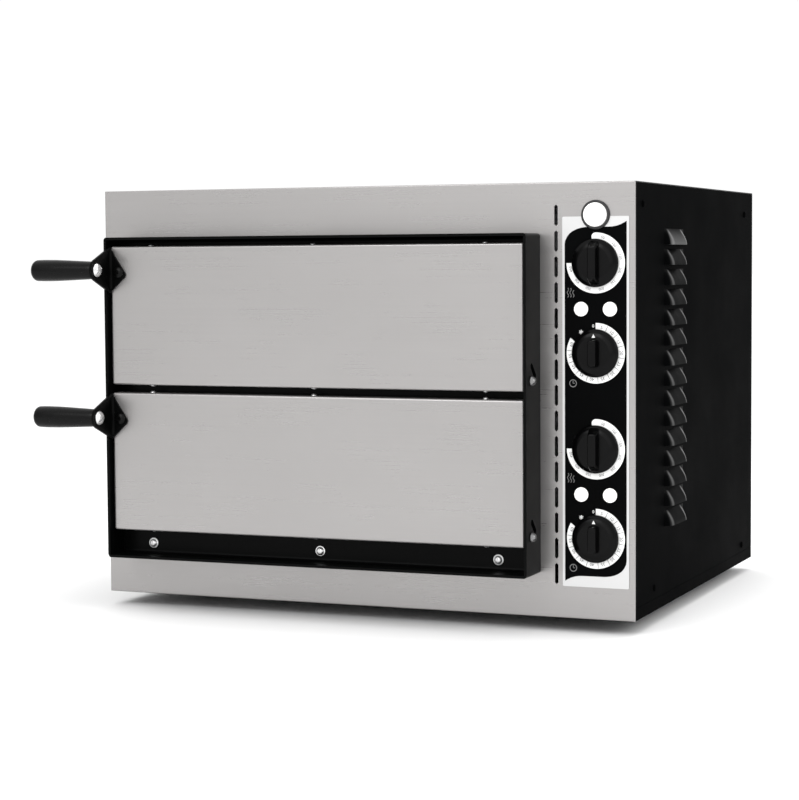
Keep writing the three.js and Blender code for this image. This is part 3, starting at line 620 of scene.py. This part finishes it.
rear_screws = bmesh.new()
for x in REAR_SCREWS_X:
    for z in (14, 402):
        cap_screw(rear_screws, x, DEPTH, z, "+Y")
for z in (140, 275):
    for x in (-REAR_EDGE_X, REAR_EDGE_X):
        cap_screw(rear_screws, x, DEPTH, z, "+Y")
make("back_panel_screws", rear_screws, ZINC, "cabinet")

for node in ("front_left_foot", "front_right_foot", "rear_left_foot", "rear_right_foot"):
    low, high = mm_box(node)
    foot = turned(
        [(0, low.z), (8, low.z), (8.6, low.z + 1), (9.6, low.z + 1), (10, low.z), (12, low.z),
         (13.9, high.z - 2), (13.9, high.z), (0, high.z)],
        ((low.x + high.x) / 2, (low.y + high.y) / 2, 0), "Z", 40, 0.9)
    make(f"{node}_rubber", foot, RUBBER, "cabinet", [node])

# ------------------------------------------------------------------ door surround

SURROUND_LOW, SURROUND_HIGH = mm_box("door_surround")


def surround_corner(edge):
    m = middle(edge)
    at_side = near(m.x, SURROUND_LOW.x) or near(m.x, SURROUND_HIGH.x)
    return at_side and (near(m.z, SURROUND_LOW.z) or near(m.z, SURROUND_HIGH.z)) and runs_along(edge, "Y")


make(
    "door_surround_enamel", refined("door_surround", 0.5, 2, [(surround_corner, 3.0, 4)]), BLACK_ENAMEL,
    "cabinet", ["door_surround"])

APRON_FACE_Y = -14.0
APRON_SCREWS_Z = 55
APRON_SCREWS_APART = 188
CROSS_SLOTS = (((-2.3, -4.5, -0.45), (2.3, -2.1, 0.45)), ((-0.45, -4.5, -2.3), (0.45, -2.1, 2.3)))
DECK_X = (SURROUND_LOW.x + SURROUND_HIGH.x) / 2
apron_screws = bmesh.new()
for x in (DECK_X - APRON_SCREWS_APART, DECK_X, DECK_X + APRON_SCREWS_APART):
    seat = Vector((x, APRON_FACE_Y, APRON_SCREWS_Z))
    head = turned(
        [(0, -3.3), (2.6, -3.1), (4.0, -1.7), (4.1, -1.1), (5.3, -1.1), (5.3, 0.1), (0, 0.1)],
        seat, "Y", 32, 0.5)
    for low, high in CROSS_SLOTS:
        head = carve(head, block(Vector(low) + seat, Vector(high) + seat))
    part = bpy.data.meshes.new("part")
    head.to_mesh(part)
    head.free()
    apron_screws.from_mesh(part)
    bpy.data.meshes.remove(part)
make("apron_screws", apron_screws, ZINC, "cabinet")

# ------------------------------------------------------------------ doors


def tangent_outline(top, bottom, centre, radius, steps=28):
    """A plate outline from a straight base to a round end about a centre."""
    centre = Vector(centre)
    side = 1 if centre.x < top[0] else -1

    def touch(base, sign):
        to_base = Vector(base) - centre
        return math.atan2(to_base.y, to_base.x) + sign * math.acos(radius / to_base.length)

    start, end = touch(top, side), touch(bottom, -side)
    while side > 0 and end < start:
        end += 2 * math.pi
    while side < 0 and end > start:
        end -= 2 * math.pi
    angles = [start + (end - start) * i / steps for i in range(steps + 1)]
    round_end = [(centre.x + radius * math.cos(t), centre.y + radius * math.sin(t)) for t in angles]
    return [bottom, top] + round_end


SLOT_TURN = math.radians(38)
DOOR_SCREWS_APART = 180
PLATE = 2                         # the bracket's sheet
EAR_RADIUS, WING_RADIUS = 11, 5


def slotted_dome(x, y, z, radius, height, sign, segments=40, seat=0.0, slot=1.5):
    """A domed screw head along X with a driver slot; sign says which way it faces."""
    profile = [
        (0, height), (radius * 0.45, height * 0.94), (radius * 0.8, height * 0.66), (radius, height * 0.2),
        (radius, seat), (0, seat)]
    head = turned([(r, a * sign) for r, a in fillet(profile, 1.2)], (x, y, z), "X", segments)
    depth = sorted((x + sign * height * 0.55, x + sign * (height + 2)))
    tool = block((depth[0], y - radius - 1, z - slot / 2), (depth[1], y + radius + 1, z + slot / 2))
    to_centre, back_again = Matrix.Translation((-x, -y, -z)), Matrix.Translation((x, y, z))
    turn = back_again @ Matrix.Rotation(SLOT_TURN, 4, "X") @ to_centre
    bmesh.ops.transform(tool, matrix=turn, verts=tool.verts)
    return carve(head, tool)


def add_door(deck):
    body = f"{deck}_door"
    low, high = mm_box(f"{deck}_door_skin")

    skin = block(low, high)
    rear_faces = [f for f in skin.faces if near(f.calc_center_median().y, high.y)]
    bmesh.ops.delete(skin, geom=rear_faces, context="FACES")
    bevel(skin, 2.2, 5)
    make(
        f"{deck}_door_steel", skin, STEEL, body, [f"{deck}_door_skin"],
        modifiers=sheet_metal(1.0))

    def pad_edge(edge):
        return near(middle(edge).y, pan_high.y)

    pan_low, pan_high = mm_box(f"{deck}_door_inner_pan")
    make(
        f"{deck}_door_lining", refined(f"{deck}_door_inner_pan", 0.25, 2, [(pad_edge, 1.4, 3)]), LINING, body,
        [f"{deck}_door_inner_pan"])

    screws = bmesh.new()
    for x in (DECK_X - DOOR_SCREWS_APART, DECK_X, DECK_X + DOOR_SCREWS_APART):
        cap_screw(screws, x, low.y + 10, high.z, "+Z", 3.0, 1.9)
        cap_screw(screws, x, low.y + 10, low.z, "-Z", 3.0, 1.9)
    make(f"{deck}_door_edge_screws", screws, ZINC, body)

    # Bracket: the wing on the door's face and the ear that carries the bolt, joined by a small inner bend.
    bracket_low, bracket_high = mm_box(f"{deck}_handle_bracket")
    bolt_low, bolt_high = mm_box(f"{deck}_handle_bolt")
    axis_y, axis_z = (bolt_low.y + bolt_high.y) / 2, (bolt_low.z + bolt_high.z) / 2
    face, fold = bracket_high.y, bracket_low.x
    tip = (bracket_high.x - WING_RADIUS, axis_z - 4.7)
    wing = bmesh.new()
    wing_outline = tangent_outline((fold, bracket_high.z), (fold, bracket_low.z), tip, WING_RADIUS)
    prism(wing, wing_outline, "Y", face - PLATE, face)
    ear = bmesh.new()
    ear_outline = tangent_outline((face, bracket_high.z), (face, bracket_low.z), (axis_y, axis_z), EAR_RADIUS)
    prism(ear, ear_outline, "X", fold, fold + PLATE)
    bracket = unite(wing, ear)
    bend = bmesh.new()
    curve = [
        (fold + 1.5, face - 1.5), (fold + 5.2, face - 1.5), (fold + 3.9, face - 2.05),
        (fold + 2.9, face - 2.8), (fold + 2.3, face - 3.9), (fold + 1.95, face - 5.2),
        (fold + 1.5, face - 5.2)]
    prism(bend, curve, "Z", bracket_low.z + 4.5, bracket_high.z - 4.5)
    bracket = unite(bracket, bend)
    bevel(bracket, 0.45, 2, angle=50)
    make(
        f"{deck}_bracket_plate", bracket, BLACK_ENAMEL, body,
        [f"{deck}_handle_bracket"])

    grip_low, grip_high = mm_box(f"{deck}_handle_grip")
    end, start = grip_low.x, grip_high.x
    grip = turned(
        [(0, end), (8.2, end), (10.6, end + 3), (10.9, end + 12), (10.75, end + 26), (10.1, end + 42),
         (9.4, end + 57), (9.0, start - 4), (8.6, start - 0.4), (8.2, start), (0, start)],
        (0, axis_y, axis_z), "X", 64, 3.4, 5)
    make(f"{deck}_grip", grip, GRIP_SATIN, body, [f"{deck}_handle_grip"])

    bolt = slotted_dome(fold + PLATE, axis_y, axis_z, 7.0, bolt_high.x - fold - PLATE, 1, seat=0.1)
    make(f"{deck}_bolt_head", bolt, ZINC, body, [f"{deck}_handle_bolt"])

    screw_low, screw_high = mm_box(f"{deck}_bracket_screw")
    centre = ((screw_low.x + screw_high.x) / 2, 0, (screw_low.z + screw_high.z) / 2)
    crown, seat = screw_low.y, face - PLATE - 0.05
    screw = turned(
        [(0, crown), (2.9, crown + 0.2), (5.2, crown + 1.4), (6.0, seat), (0, seat)], centre, "Y", 40, 1.2)
    socket = turned([(0, crown - 1), (1.9, crown - 1), (1.9, crown + 1.5), (0, crown + 1.5)], centre, "Y", 6)
    make(
        f"{deck}_bracket_button", carve(screw, socket), GRIP_SATIN, body,
        [f"{deck}_bracket_screw"])

    for side_name, sign in (("left", -1), ("right", 1)):
        node = f"{deck}_hinge_screw_{side_name}"
        pin_low, pin_high = mm_box(node)
        wall = SURROUND_HIGH.x if sign > 0 else SURROUND_LOW.x
        head_end = pin_high.x if sign > 0 else pin_low.x
        y, z = (pin_low.y + pin_high.y) / 2, (pin_low.z + pin_high.z) / 2
        head = slotted_dome(wall, y, z, 4.6, abs(head_end - wall), sign, 32, seat=0.3, slot=1.1)
        inner, outer = pin_low.x if sign > 0 else pin_high.x, wall + sign * 0.6
        shank = turned([(0, inner), (3, inner), (3, outer), (0, outer)], (0, y, z), "X", 24)
        make(f"{node}_head", unite(head, shank), DARK_ZINC, body, [node])


DECKS = ("upper", "lower")
for deck_name in DECKS:
    add_door(deck_name)

# ------------------------------------------------------------------ chambers


ELEMENT_LEGS = 5
ELEMENT_TURN_X = 151              # from the deck's middle to the centres of the bar's turns
ELEMENT_BAR = 3.1                 # the bar's radius
TURN_STEPS = 16


def add_chamber(deck):
    stone = block(*mm_box(f"{deck}_baking_stone"))
    bevel(stone, 1.8, 3)
    make(f"{deck}_stone_slab", stone, STONE, "cabinet", [f"{deck}_baking_stone"])
    for place in ("bottom", "top"):
        node = f"{deck}_{place}_element"
        low, high = mm_box(node)
        radius = (high.z - low.z) / 2
        z = (high.z + low.z) / 2
        first, last = low.y + ELEMENT_BAR, high.y - ELEMENT_BAR
        spacing = (last - first) / ELEMENT_LEGS
        points = [(high.x, first, z)]
        for leg in range(ELEMENT_LEGS):
            sign = -1 if leg % 2 == 0 else 1
            for i in range(TURN_STEPS + 1):
                t = -math.pi / 2 + math.pi * i / TURN_STEPS
                x = DECK_X + sign * (ELEMENT_TURN_X + spacing / 2 * math.cos(t))
                points.append((x, first + (leg + 0.5) * spacing + spacing / 2 * math.sin(t), z))
        points.append((high.x, last, z))
        bm = bmesh.new()
        tube(bm, points, radius * 0.98)
        make(f"{node}_tube", bm, SHEATH, "cabinet", [node])


for deck_name in DECKS:
    add_chamber(deck_name)

# ------------------------------------------------------------------ controls

PRINT = 0.06                      # thickness of a printed layer
LIFT = 0.001                      # keeps printed layers apart
LABEL_LOW, LABEL_HIGH = mm_box("control_label")
LABEL_FRONT = LABEL_LOW.y
DIAL_X = 245.4
SCALE_INNER, SCALE_OUTER = 20.6, 28.7
TIMER_BAND_DROP = 1.2             # the timers' bands are a little thinner below
TIMER_SWEEP, THERMOSTAT_SWEEP = 300, 270
TIMER_STEPS, THERMOSTAT_STEPS = 12, 9
BITE_RADIUS, BITE_STEPS = 14.3, 32


def label_outline():
    """The silver plate, with a bite for the switch bezel in its upper edge."""
    switch_low, switch_high = mm_box("power_switch_housing")
    centre_z = (switch_low.z + switch_high.z) / 2
    x0, x1, z0, z1 = LABEL_LOW.x, LABEL_HIGH.x, LABEL_LOW.z, LABEL_HIGH.z
    reach = math.sqrt(BITE_RADIUS ** 2 - (z1 - centre_z) ** 2)
    start = math.atan2(z1 - centre_z, reach)
    corners = fillet([(x1, z1), (x1, z0), (x0, z0), (x0, z1)], 1.5, 4, closed=True)
    bite = []
    for i in range(BITE_STEPS + 1):
        t = math.pi - start + (math.pi + 2 * start) * i / BITE_STEPS
        bite.append((DIAL_X + BITE_RADIUS * math.cos(t), centre_z + BITE_RADIUS * math.sin(t)))
    return corners + bite


def make_print(name, bm, ink, replaces=()):
    make(name, bm, ink, "cabinet", replaces, sharp=25, weighted=False)


plate = bmesh.new()
prism(plate, label_outline(), "Y", LABEL_FRONT, LABEL_HIGH.y)
make_print("label_plate", plate, SILVER_FOIL, ["control_label"])

FIELD_UPPER_EDGE = (
    (214.8, 357.0), (215.3, 360.6), (217.2, 364.4), (219.4, 367.2), (222.6, 369.6), (226.6, 371.5),
    (231.0, 372.7), (236.0, 373.3), (258.0, 373.4), (262.0, 373.6), (266.0, 374.3), (270.0, 375.6),
    (273.2, 377.2), (275.8, 378.8))
FIELD_FOOT = 36.0


def field_outline():
    """The black field: a round start and a cusp above, and the same edge turned half round below."""
    upper = list(FIELD_UPPER_EDGE)
    (left, _), (right, cusp) = upper[0], upper[-1]
    return upper + [(left + right - x, cusp + FIELD_FOOT - z) for x, z in upper]


field = bmesh.new()
prism(field, field_outline(), "Y", LABEL_FRONT - PRINT, LABEL_FRONT - LIFT)
make_print("label_field", field, FIELD_INK)


def polar(centre_z, radius, degrees):
    """A point at a clock angle round a dial, 0 at the top and rising clockwise."""
    t = math.radians(degrees)
    return DIAL_X + radius * math.sin(t), centre_z + radius * math.cos(t)


def scale_outline(centre_z, end, round_start):
    """A band round a dial from the top, clockwise, with a round or a square start."""
    steps = 72
    outer = [polar(centre_z, SCALE_OUTER, end * i / steps) for i in range(steps + 1)]
    drop = 0 if round_start else TIMER_BAND_DROP
    inner = [polar(centre_z - drop, SCALE_INNER + drop, end * i / steps) for i in range(steps, -1, -1)]
    points = outer + inner
    if round_start:
        middle_radius, half = (SCALE_INNER + SCALE_OUTER) / 2, (SCALE_OUTER - SCALE_INNER) / 2
        for i in range(1, 12):
            t = math.pi * i / 12
            points.append((DIAL_X - half * math.sin(t), centre_z + middle_radius - half * math.cos(t)))
    return points


def add_text(bm, text, x, z, size, y, turn=0.0):
    curve = bpy.data.curves.new("figure", "FONT")
    curve.body, curve.size, curve.extrude, curve.resolution_u = text, size, PRINT / 2, 3
    curve.align_x, curve.align_y = "CENTER", "CENTER"
    obj = bpy.data.objects.new("figure", curve)
    bpy.context.scene.collection.objects.link(obj)
    evaluated = obj.evaluated_get(bpy.context.evaluated_depsgraph_get())
    mesh = bpy.data.meshes.new_from_object(evaluated)
    upright = Matrix.Rotation(turn, 4, "Y") @ Matrix.Rotation(math.pi / 2, 4, "X")
    mesh.transform(Matrix.Translation((x, y, z)) @ upright)
    bm.from_mesh(mesh)
    bpy.data.objects.remove(obj)
    bpy.data.meshes.remove(mesh)
    bpy.data.curves.remove(curve)


def add_strokes(bm, paths, width, y0, y1):
    """Straight strokes of one width along each path of points."""
    for path in paths:
        for (xa, za), (xb, zb) in zip(path, path[1:]):
            along = Vector((xb - xa, zb - za)).normalized() * width / 2
            across = Vector((-along.y, along.x))
            a, b = Vector((xa, za)) - along * 0.6, Vector((xb, zb)) + along * 0.6
            corners = (a - across, b - across, b + across, a + across)
            prism(bm, [tuple(corner) for corner in corners], "Y", y0, y1)


def clock_ring(bm, x, z, radius, width, y0, y1, steps=32):
    turns = [2 * math.pi * i / steps for i in range(steps)]
    ring = [[(x + r * math.cos(t), z + r * math.sin(t)) for t in turns] for r in (radius, radius - width)]
    layers = [[[bm.verts.new((p[0], y, p[1])) for p in loop] for loop in ring] for y in (y0, y1)]
    for i in range(steps):
        j = (i + 1) % steps
        (ao, ai), (bo, bi) = layers
        bm.faces.new((ao[i], ao[j], ai[j], ai[i]))
        bm.faces.new((bo[i], bo[j], bi[j], bi[i]))
        bm.faces.new((ao[i], ao[j], bo[j], bo[i]))
        bm.faces.new((ai[i], ai[j], bi[j], bi[i]))


def add_scale(name, is_timer):
    low, high = mm_box(f"{name}_shaft")
    z = (low.z + high.z) / 2
    back, front = LABEL_FRONT - PRINT - LIFT, LABEL_FRONT - 2 * PRINT
    end = TIMER_SWEEP if is_timer else THERMOSTAT_SWEEP
    band = bmesh.new()
    prism(band, scale_outline(z, end, not is_timer), "Y", front, back)
    make_print(f"{name}_scale", band, WHITE_INK)

    figures = bmesh.new()
    mark_back, mark_front = front - LIFT, front - PRINT
    mark_middle = (mark_back + mark_front) / 2
    steps = TIMER_STEPS if is_timer else THERMOSTAT_STEPS
    radius = (SCALE_INNER + SCALE_OUTER) / 2
    for i in range(steps):
        degrees = (i + 0.55) * end / steps
        text = str(5 * (i + 1)) if is_timer else str(50 * (i + 1))
        x, figure_z = polar(z, radius + 0.3, degrees)
        add_text(figures, text, x, figure_z, 4.4 if is_timer else 3.7, mark_middle, math.radians(degrees))
        if is_timer and i:
            edge = i * end / steps
            path = [polar(z, SCALE_INNER + 0.5, edge), polar(z, SCALE_OUTER - 0.5, edge)]
            add_strokes(figures, [path], 0.45, mark_front, mark_back)
    make_print(f"{name}_figures", figures, DARK_INK)

    # Small printed signs beside the dial: heat waves for a thermostat, a clock for a timer.
    signs = bmesh.new()
    if is_timer:
        cx, cz = 223.0, z - 28.8
        clock_ring(signs, cx, cz, 3.7, 0.7, front, back)
        add_strokes(signs, [[(cx, cz + 2.2), (cx, cz), (cx + 1.6, cz)]], 0.55, front, back)
    else:
        cx, cz = 220.6, z - 28.0
        for k in range(3):
            x = cx - 2.6 + 2.7 * k
            wave = [(x + 0.75 * math.sin(t * 1.15), cz - 4.2 + 1.05 * t) for t in range(9 - 2 * (k == 2))]
            add_strokes(signs, [wave], 0.75, front, back)
    make_print(f"{name}_sign", signs, GREY_INK)
    if is_timer:
        stars = bmesh.new()
        add_text(stars, "0", 243.0, z + 25.6, 4.2, (front + back) / 2)
        sx, sz = 231.0, z + 19.9
        for k in range(3):
            t = math.pi * k / 3 + 0.4
            dx, dz = 1.9 * math.cos(t), 1.9 * math.sin(t)
            add_strokes(stars, [[(sx - dx, sz - dz), (sx + dx, sz + dz)]], 0.8, front, back)
        make_print(f"{name}_marks", stars, WHITE_INK)


def add_knob(name, is_timer):
    low, high = mm_box(f"{name}_knob")
    centre_z = (low.z + high.z) / 2
    centre = (DIAL_X, 0, centre_z)
    radius = (high.x - low.x) / 2
    front, back = low.y, high.y
    disc = turned(
        [(0, front + 7.9), (9, front + 7.9), (15.8, front + 7.9), (17.4, front + 8.4), (19.4, front + 9.1),
         (20.6, front + 10.1), (radius - 0.6, back - 3.6), (radius, back - 2.6), (radius, back), (0, back)],
        centre, "Y", 96, 0.9, 3)
    ridge = bmesh.new()
    half_width, rise = 4.6, 7.8
    foot_length, top_length = (13.6, 12.2) if is_timer else (20.8, 15.0)
    outline = rounded_box_outline(-half_width, half_width, -foot_length, foot_length, 3.4)
    rear_loop, front_loop = prism(
        ridge, [(DIAL_X + x, centre_z + z) for x, z in outline], "Y", front + rise + 2, front)
    for vert in front_loop:
        vert.co.x = DIAL_X + (vert.co.x - DIAL_X) * 0.82
        vert.co.z = centre_z + (vert.co.z - centre_z) * top_length / foot_length
    for vert in rear_loop:
        vert.co.x = DIAL_X + (vert.co.x - DIAL_X) * 1.2
    bmesh.ops.recalc_face_normals(ridge, faces=ridge.faces)
    bevel(ridge, 1.0, 4, lambda e: near(middle(e).y, front))
    body = f"{name}_dial"
    make(f"{name}_knob_moulding", unite(disc, ridge), BAKELITE, body, [f"{name}_knob"], sharp=28)
    if is_timer:
        arrow = bmesh.new()
        base = centre_z + 14.9
        outline = [(DIAL_X - 1.7, base), (DIAL_X + 1.7, base), (DIAL_X, base + 3.3)]
        prism(arrow, outline, "Y", front + 7.6, front + 9.4)
        make(f"{name}_arrow", arrow, WHITE_INK, body, sharp=25, weighted=False)


DIALS = ("upper_thermostat", "upper_timer", "lower_thermostat", "lower_timer")
for dial in DIALS:
    add_scale(dial, dial.endswith("timer"))
    add_knob(dial, dial.endswith("timer"))

for node in ("upper_left_lamp", "upper_right_lamp", "lower_left_lamp", "lower_right_lamp"):
    low, high = mm_box(node)
    centre = ((low.x + high.x) / 2, 0, (low.z + high.z) / 2)
    front, radius = low.y, (high.x - low.x) / 2
    lamp = turned(
        [(0, front), (3.4, front + 0.25), (5.3, front + 0.9), (5.7, front + 1.5), (radius - 0.2, front + 1.6),
         (radius, front + 2.1), (radius, -1.1), (5, -1.1), (5, high.y), (0, high.y)],
        centre, "Y", 40, 0.5, 3)
    make(f"{node}_lens", lamp, LAMP_LENS, "cabinet", [node])

switch_low, switch_high = mm_box("power_switch_housing")
switch_centre = (DIAL_X, 0, (switch_low.z + switch_high.z) / 2)
bezel_radius, bezel_front = (switch_high.x - switch_low.x) / 2, switch_low.y
cap_low, cap_high = mm_box("power_switch_button")
cap_radius = (cap_high.x - cap_low.x) / 2
well = cap_radius + 0.3
bezel = turned(
    [(0, 8), (well, 8), (well, bezel_front + 0.3), (well + 0.5, bezel_front),
     (bezel_radius - 0.7, bezel_front), (bezel_radius, bezel_front + 0.8), (bezel_radius, -0.3),
     (well + 1, -0.3), (well + 1, switch_high.y), (0, switch_high.y)],
    switch_centre, "Y", 72, 0.4, 3)
make("switch_bezel", bezel, BLACK_NYLON, "cabinet", ["power_switch_housing"])
cap = turned(
    [(0, cap_low.y), (cap_radius - 4, cap_low.y + 0.2), (cap_radius - 1.2, cap_low.y + 0.8),
     (cap_radius, cap_low.y + 2.0), (cap_radius, cap_high.y), (0, cap_high.y)],
    switch_centre, "Y", 72, 0.9)
make("switch_cap", cap, WHITE_CAP, "power_button", ["power_switch_button"])

# ------------------------------------------------------------------ cable gland

gland_low, gland_high = mm_box("cable_gland")
gx, gz = (gland_low.x + gland_high.x) / 2, (gland_low.z + gland_high.z) / 2
GLAND_CENTRE = (gx, 0, gz)
BORE, STEM, NUT = 4.5, 8, 11.6    # radii
gland = bmesh.new()
hexagon = [(gx + NUT * math.cos(math.pi / 3 * i), gz + NUT * math.sin(math.pi / 3 * i)) for i in range(6)]
prism(gland, hexagon, "Y", DEPTH + 0.3, DEPTH + 6)
bevel(gland, 0.6, 2)
cap_nut = turned(
    [(0, DEPTH + 5.5), (10.2, DEPTH + 5.5), (10.2, DEPTH + 10), (9.0, DEPTH + 12.5), (7.2, gland_high.y),
     (0, gland_high.y)],
    GLAND_CENTRE, "Y", 48, 1.0)
stem = turned(
    [(0, gland_low.y), (STEM, gland_low.y), (STEM, DEPTH + 1), (0, DEPTH + 1)], GLAND_CENTRE, "Y", 40)
inner, outer = gland_low.y - 2, gland_high.y + 2
bore = turned([(0, inner), (BORE, inner), (BORE, outer), (0, outer)], GLAND_CENTRE, "Y", 32)
gland = carve(unite(unite(gland, cap_nut), stem), bore)
make("gland_moulding", gland, BLACK_NYLON, "cabinet", ["cable_gland"])

# ------------------------------------------------------------------ CAD nodes that stay, new materials

KEPT = {"partition_wall": GALVANISED, "insulation_core": WOOL, "terminal_block": CERAMIC}
for deck_name in DECKS:
    KEPT.update({f"{deck_name}_chamber_liner": LINING, f"{deck_name}_door_insulation": WOOL})
for dial in DIALS:
    KEPT.update({dial: GALVANISED, f"{dial}_shaft": ZINC})
for node, material in KEPT.items():
    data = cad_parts[node].data
    data.materials.clear()
    data.materials.append(material)

# ------------------------------------------------------------------ floor, light and camera

floor_mesh = bmesh.new()
bmesh.ops.create_grid(floor_mesh, x_segments=2, y_segments=2, size=40)
floor_data = bpy.data.meshes.new("floor")
floor_mesh.to_mesh(floor_data)
floor_mesh.free()
floor = bpy.data.objects.new("floor", floor_data)
bpy.context.scene.collection.objects.link(floor)
paper = Nodes("pale_floor")
floor_data.materials.append(paper.set(
    Base_Color=paper.tinted(paper.noise(3.0), (0.90, 0.90, 0.90), (0.92, 0.92, 0.92)), Roughness=0.8,
    Specular_IOR_Level=0.1))

world = bpy.data.worlds.new("studio")
bpy.context.scene.world = world
world.use_nodes = True
world.node_tree.nodes["Background"].inputs["Color"].default_value = (1, 1, 1, 1)


def world_share(direction, start, end):
    """How far a direction lies inside a soft patch of the dome: 0 outside it, 1 near its middle."""
    tree = world.node_tree
    coords = tree.nodes.new("ShaderNodeTexCoord")
    dot = tree.nodes.new("ShaderNodeVectorMath")
    dot.operation = "DOT_PRODUCT"
    dot.inputs[1].default_value = Vector(direction).normalized()
    tree.links.new(coords.outputs["Generated"], dot.inputs[0])
    patch = tree.nodes.new("ShaderNodeMapRange")
    patch.interpolation_type = "SMOOTHSTEP"
    patch.inputs["From Min"].default_value = start
    patch.inputs["From Max"].default_value = end
    tree.links.new(dot.outputs["Value"], patch.inputs["Value"])
    return patch.outputs["Result"]


def world_patches(base, patches):
    """An even studio dome with softer or stronger patches: (direction, start, end, change in strength)."""
    tree = world.node_tree
    total = tree.nodes.new("ShaderNodeValue")
    total.outputs[0].default_value = base
    total = total.outputs[0]
    for direction, start, end, change in patches:
        scaled_share = tree.nodes.new("ShaderNodeMath")
        scaled_share.operation = "MULTIPLY_ADD"
        scaled_share.inputs[1].default_value = change
        tree.links.new(world_share(direction, start, end), scaled_share.inputs[0])
        tree.links.new(total, scaled_share.inputs[2])
        total = scaled_share.outputs[0]
    tree.links.new(total, tree.nodes["Background"].inputs["Strength"])


DOME_STRENGTH = 1.03
OVERHEAD = ((0.0, 0.0, 1.0), 0.4, 0.95, 0.35)
LEFT_SHADE = ((-0.8, -0.6, 0.0), 0.5, 1.0, -0.35)
FRONT_GLOW = ((-0.05, -0.98, 0.2), 0.76, 1.0, 1.0)
world_patches(DOME_STRENGTH, (OVERHEAD, LEFT_SHADE, FRONT_GLOW))


def softbox(name, place, target, size, power):
    light = bpy.data.lights.new(name, "AREA")
    light.shape = "RECTANGLE"
    light.size, light.size_y = size
    light.energy = power
    obj = bpy.data.objects.new(name, light)
    obj.location = place
    direction = Vector(target) - Vector(place)
    obj.rotation_euler = direction.to_track_quat("-Z", "Y").to_euler()
    bpy.context.scene.collection.objects.link(obj)


softbox("key", (-0.55, -2.3, 1.9), (0, -0.2, 0.2), (1.6, 1.1), 20)
softbox("overhead", (0.3, 0.3, 2.3), (0, 0, 0.2), (0.9, 0.9), 16)
softbox("rim", (2.1, -0.7, 1.2), (0.2, 0, 0.2), (0.7, 0.9), 9)

bpy.context.scene.view_settings.view_transform = "Standard"

# A three-quarter view from the right, level with the upper deck.
CAMERA_PLACE = Vector((852, -1959, 345))
LENS, SENSOR = 97.2675, 36
YAW, PITCH, ROLL = math.radians(22.41), math.radians(3.75), math.radians(0.39)
ahead = Vector((-math.sin(YAW) * math.cos(PITCH), math.cos(YAW) * math.cos(PITCH), -math.sin(PITCH)))
right = Vector((math.cos(YAW), math.sin(YAW), 0))
down = ahead.cross(right)
right_rolled = right * math.cos(ROLL) + down * math.sin(ROLL)
down_rolled = down * math.cos(ROLL) - right * math.sin(ROLL)
camera_data = bpy.data.cameras.new("camera")
camera = bpy.data.objects.new("camera", camera_data)
bpy.context.scene.collection.objects.link(camera)
turn = Matrix((right_rolled, -down_rolled, -ahead)).transposed()
camera.matrix_world = Matrix.Translation(ORIGIN + CAMERA_PLACE * MM) @ turn.to_4x4()
camera_data.sensor_width, camera_data.lens = SENSOR, LENS
camera_data.clip_start, camera_data.clip_end = 0.05, 100
bpy.context.scene.camera = camera
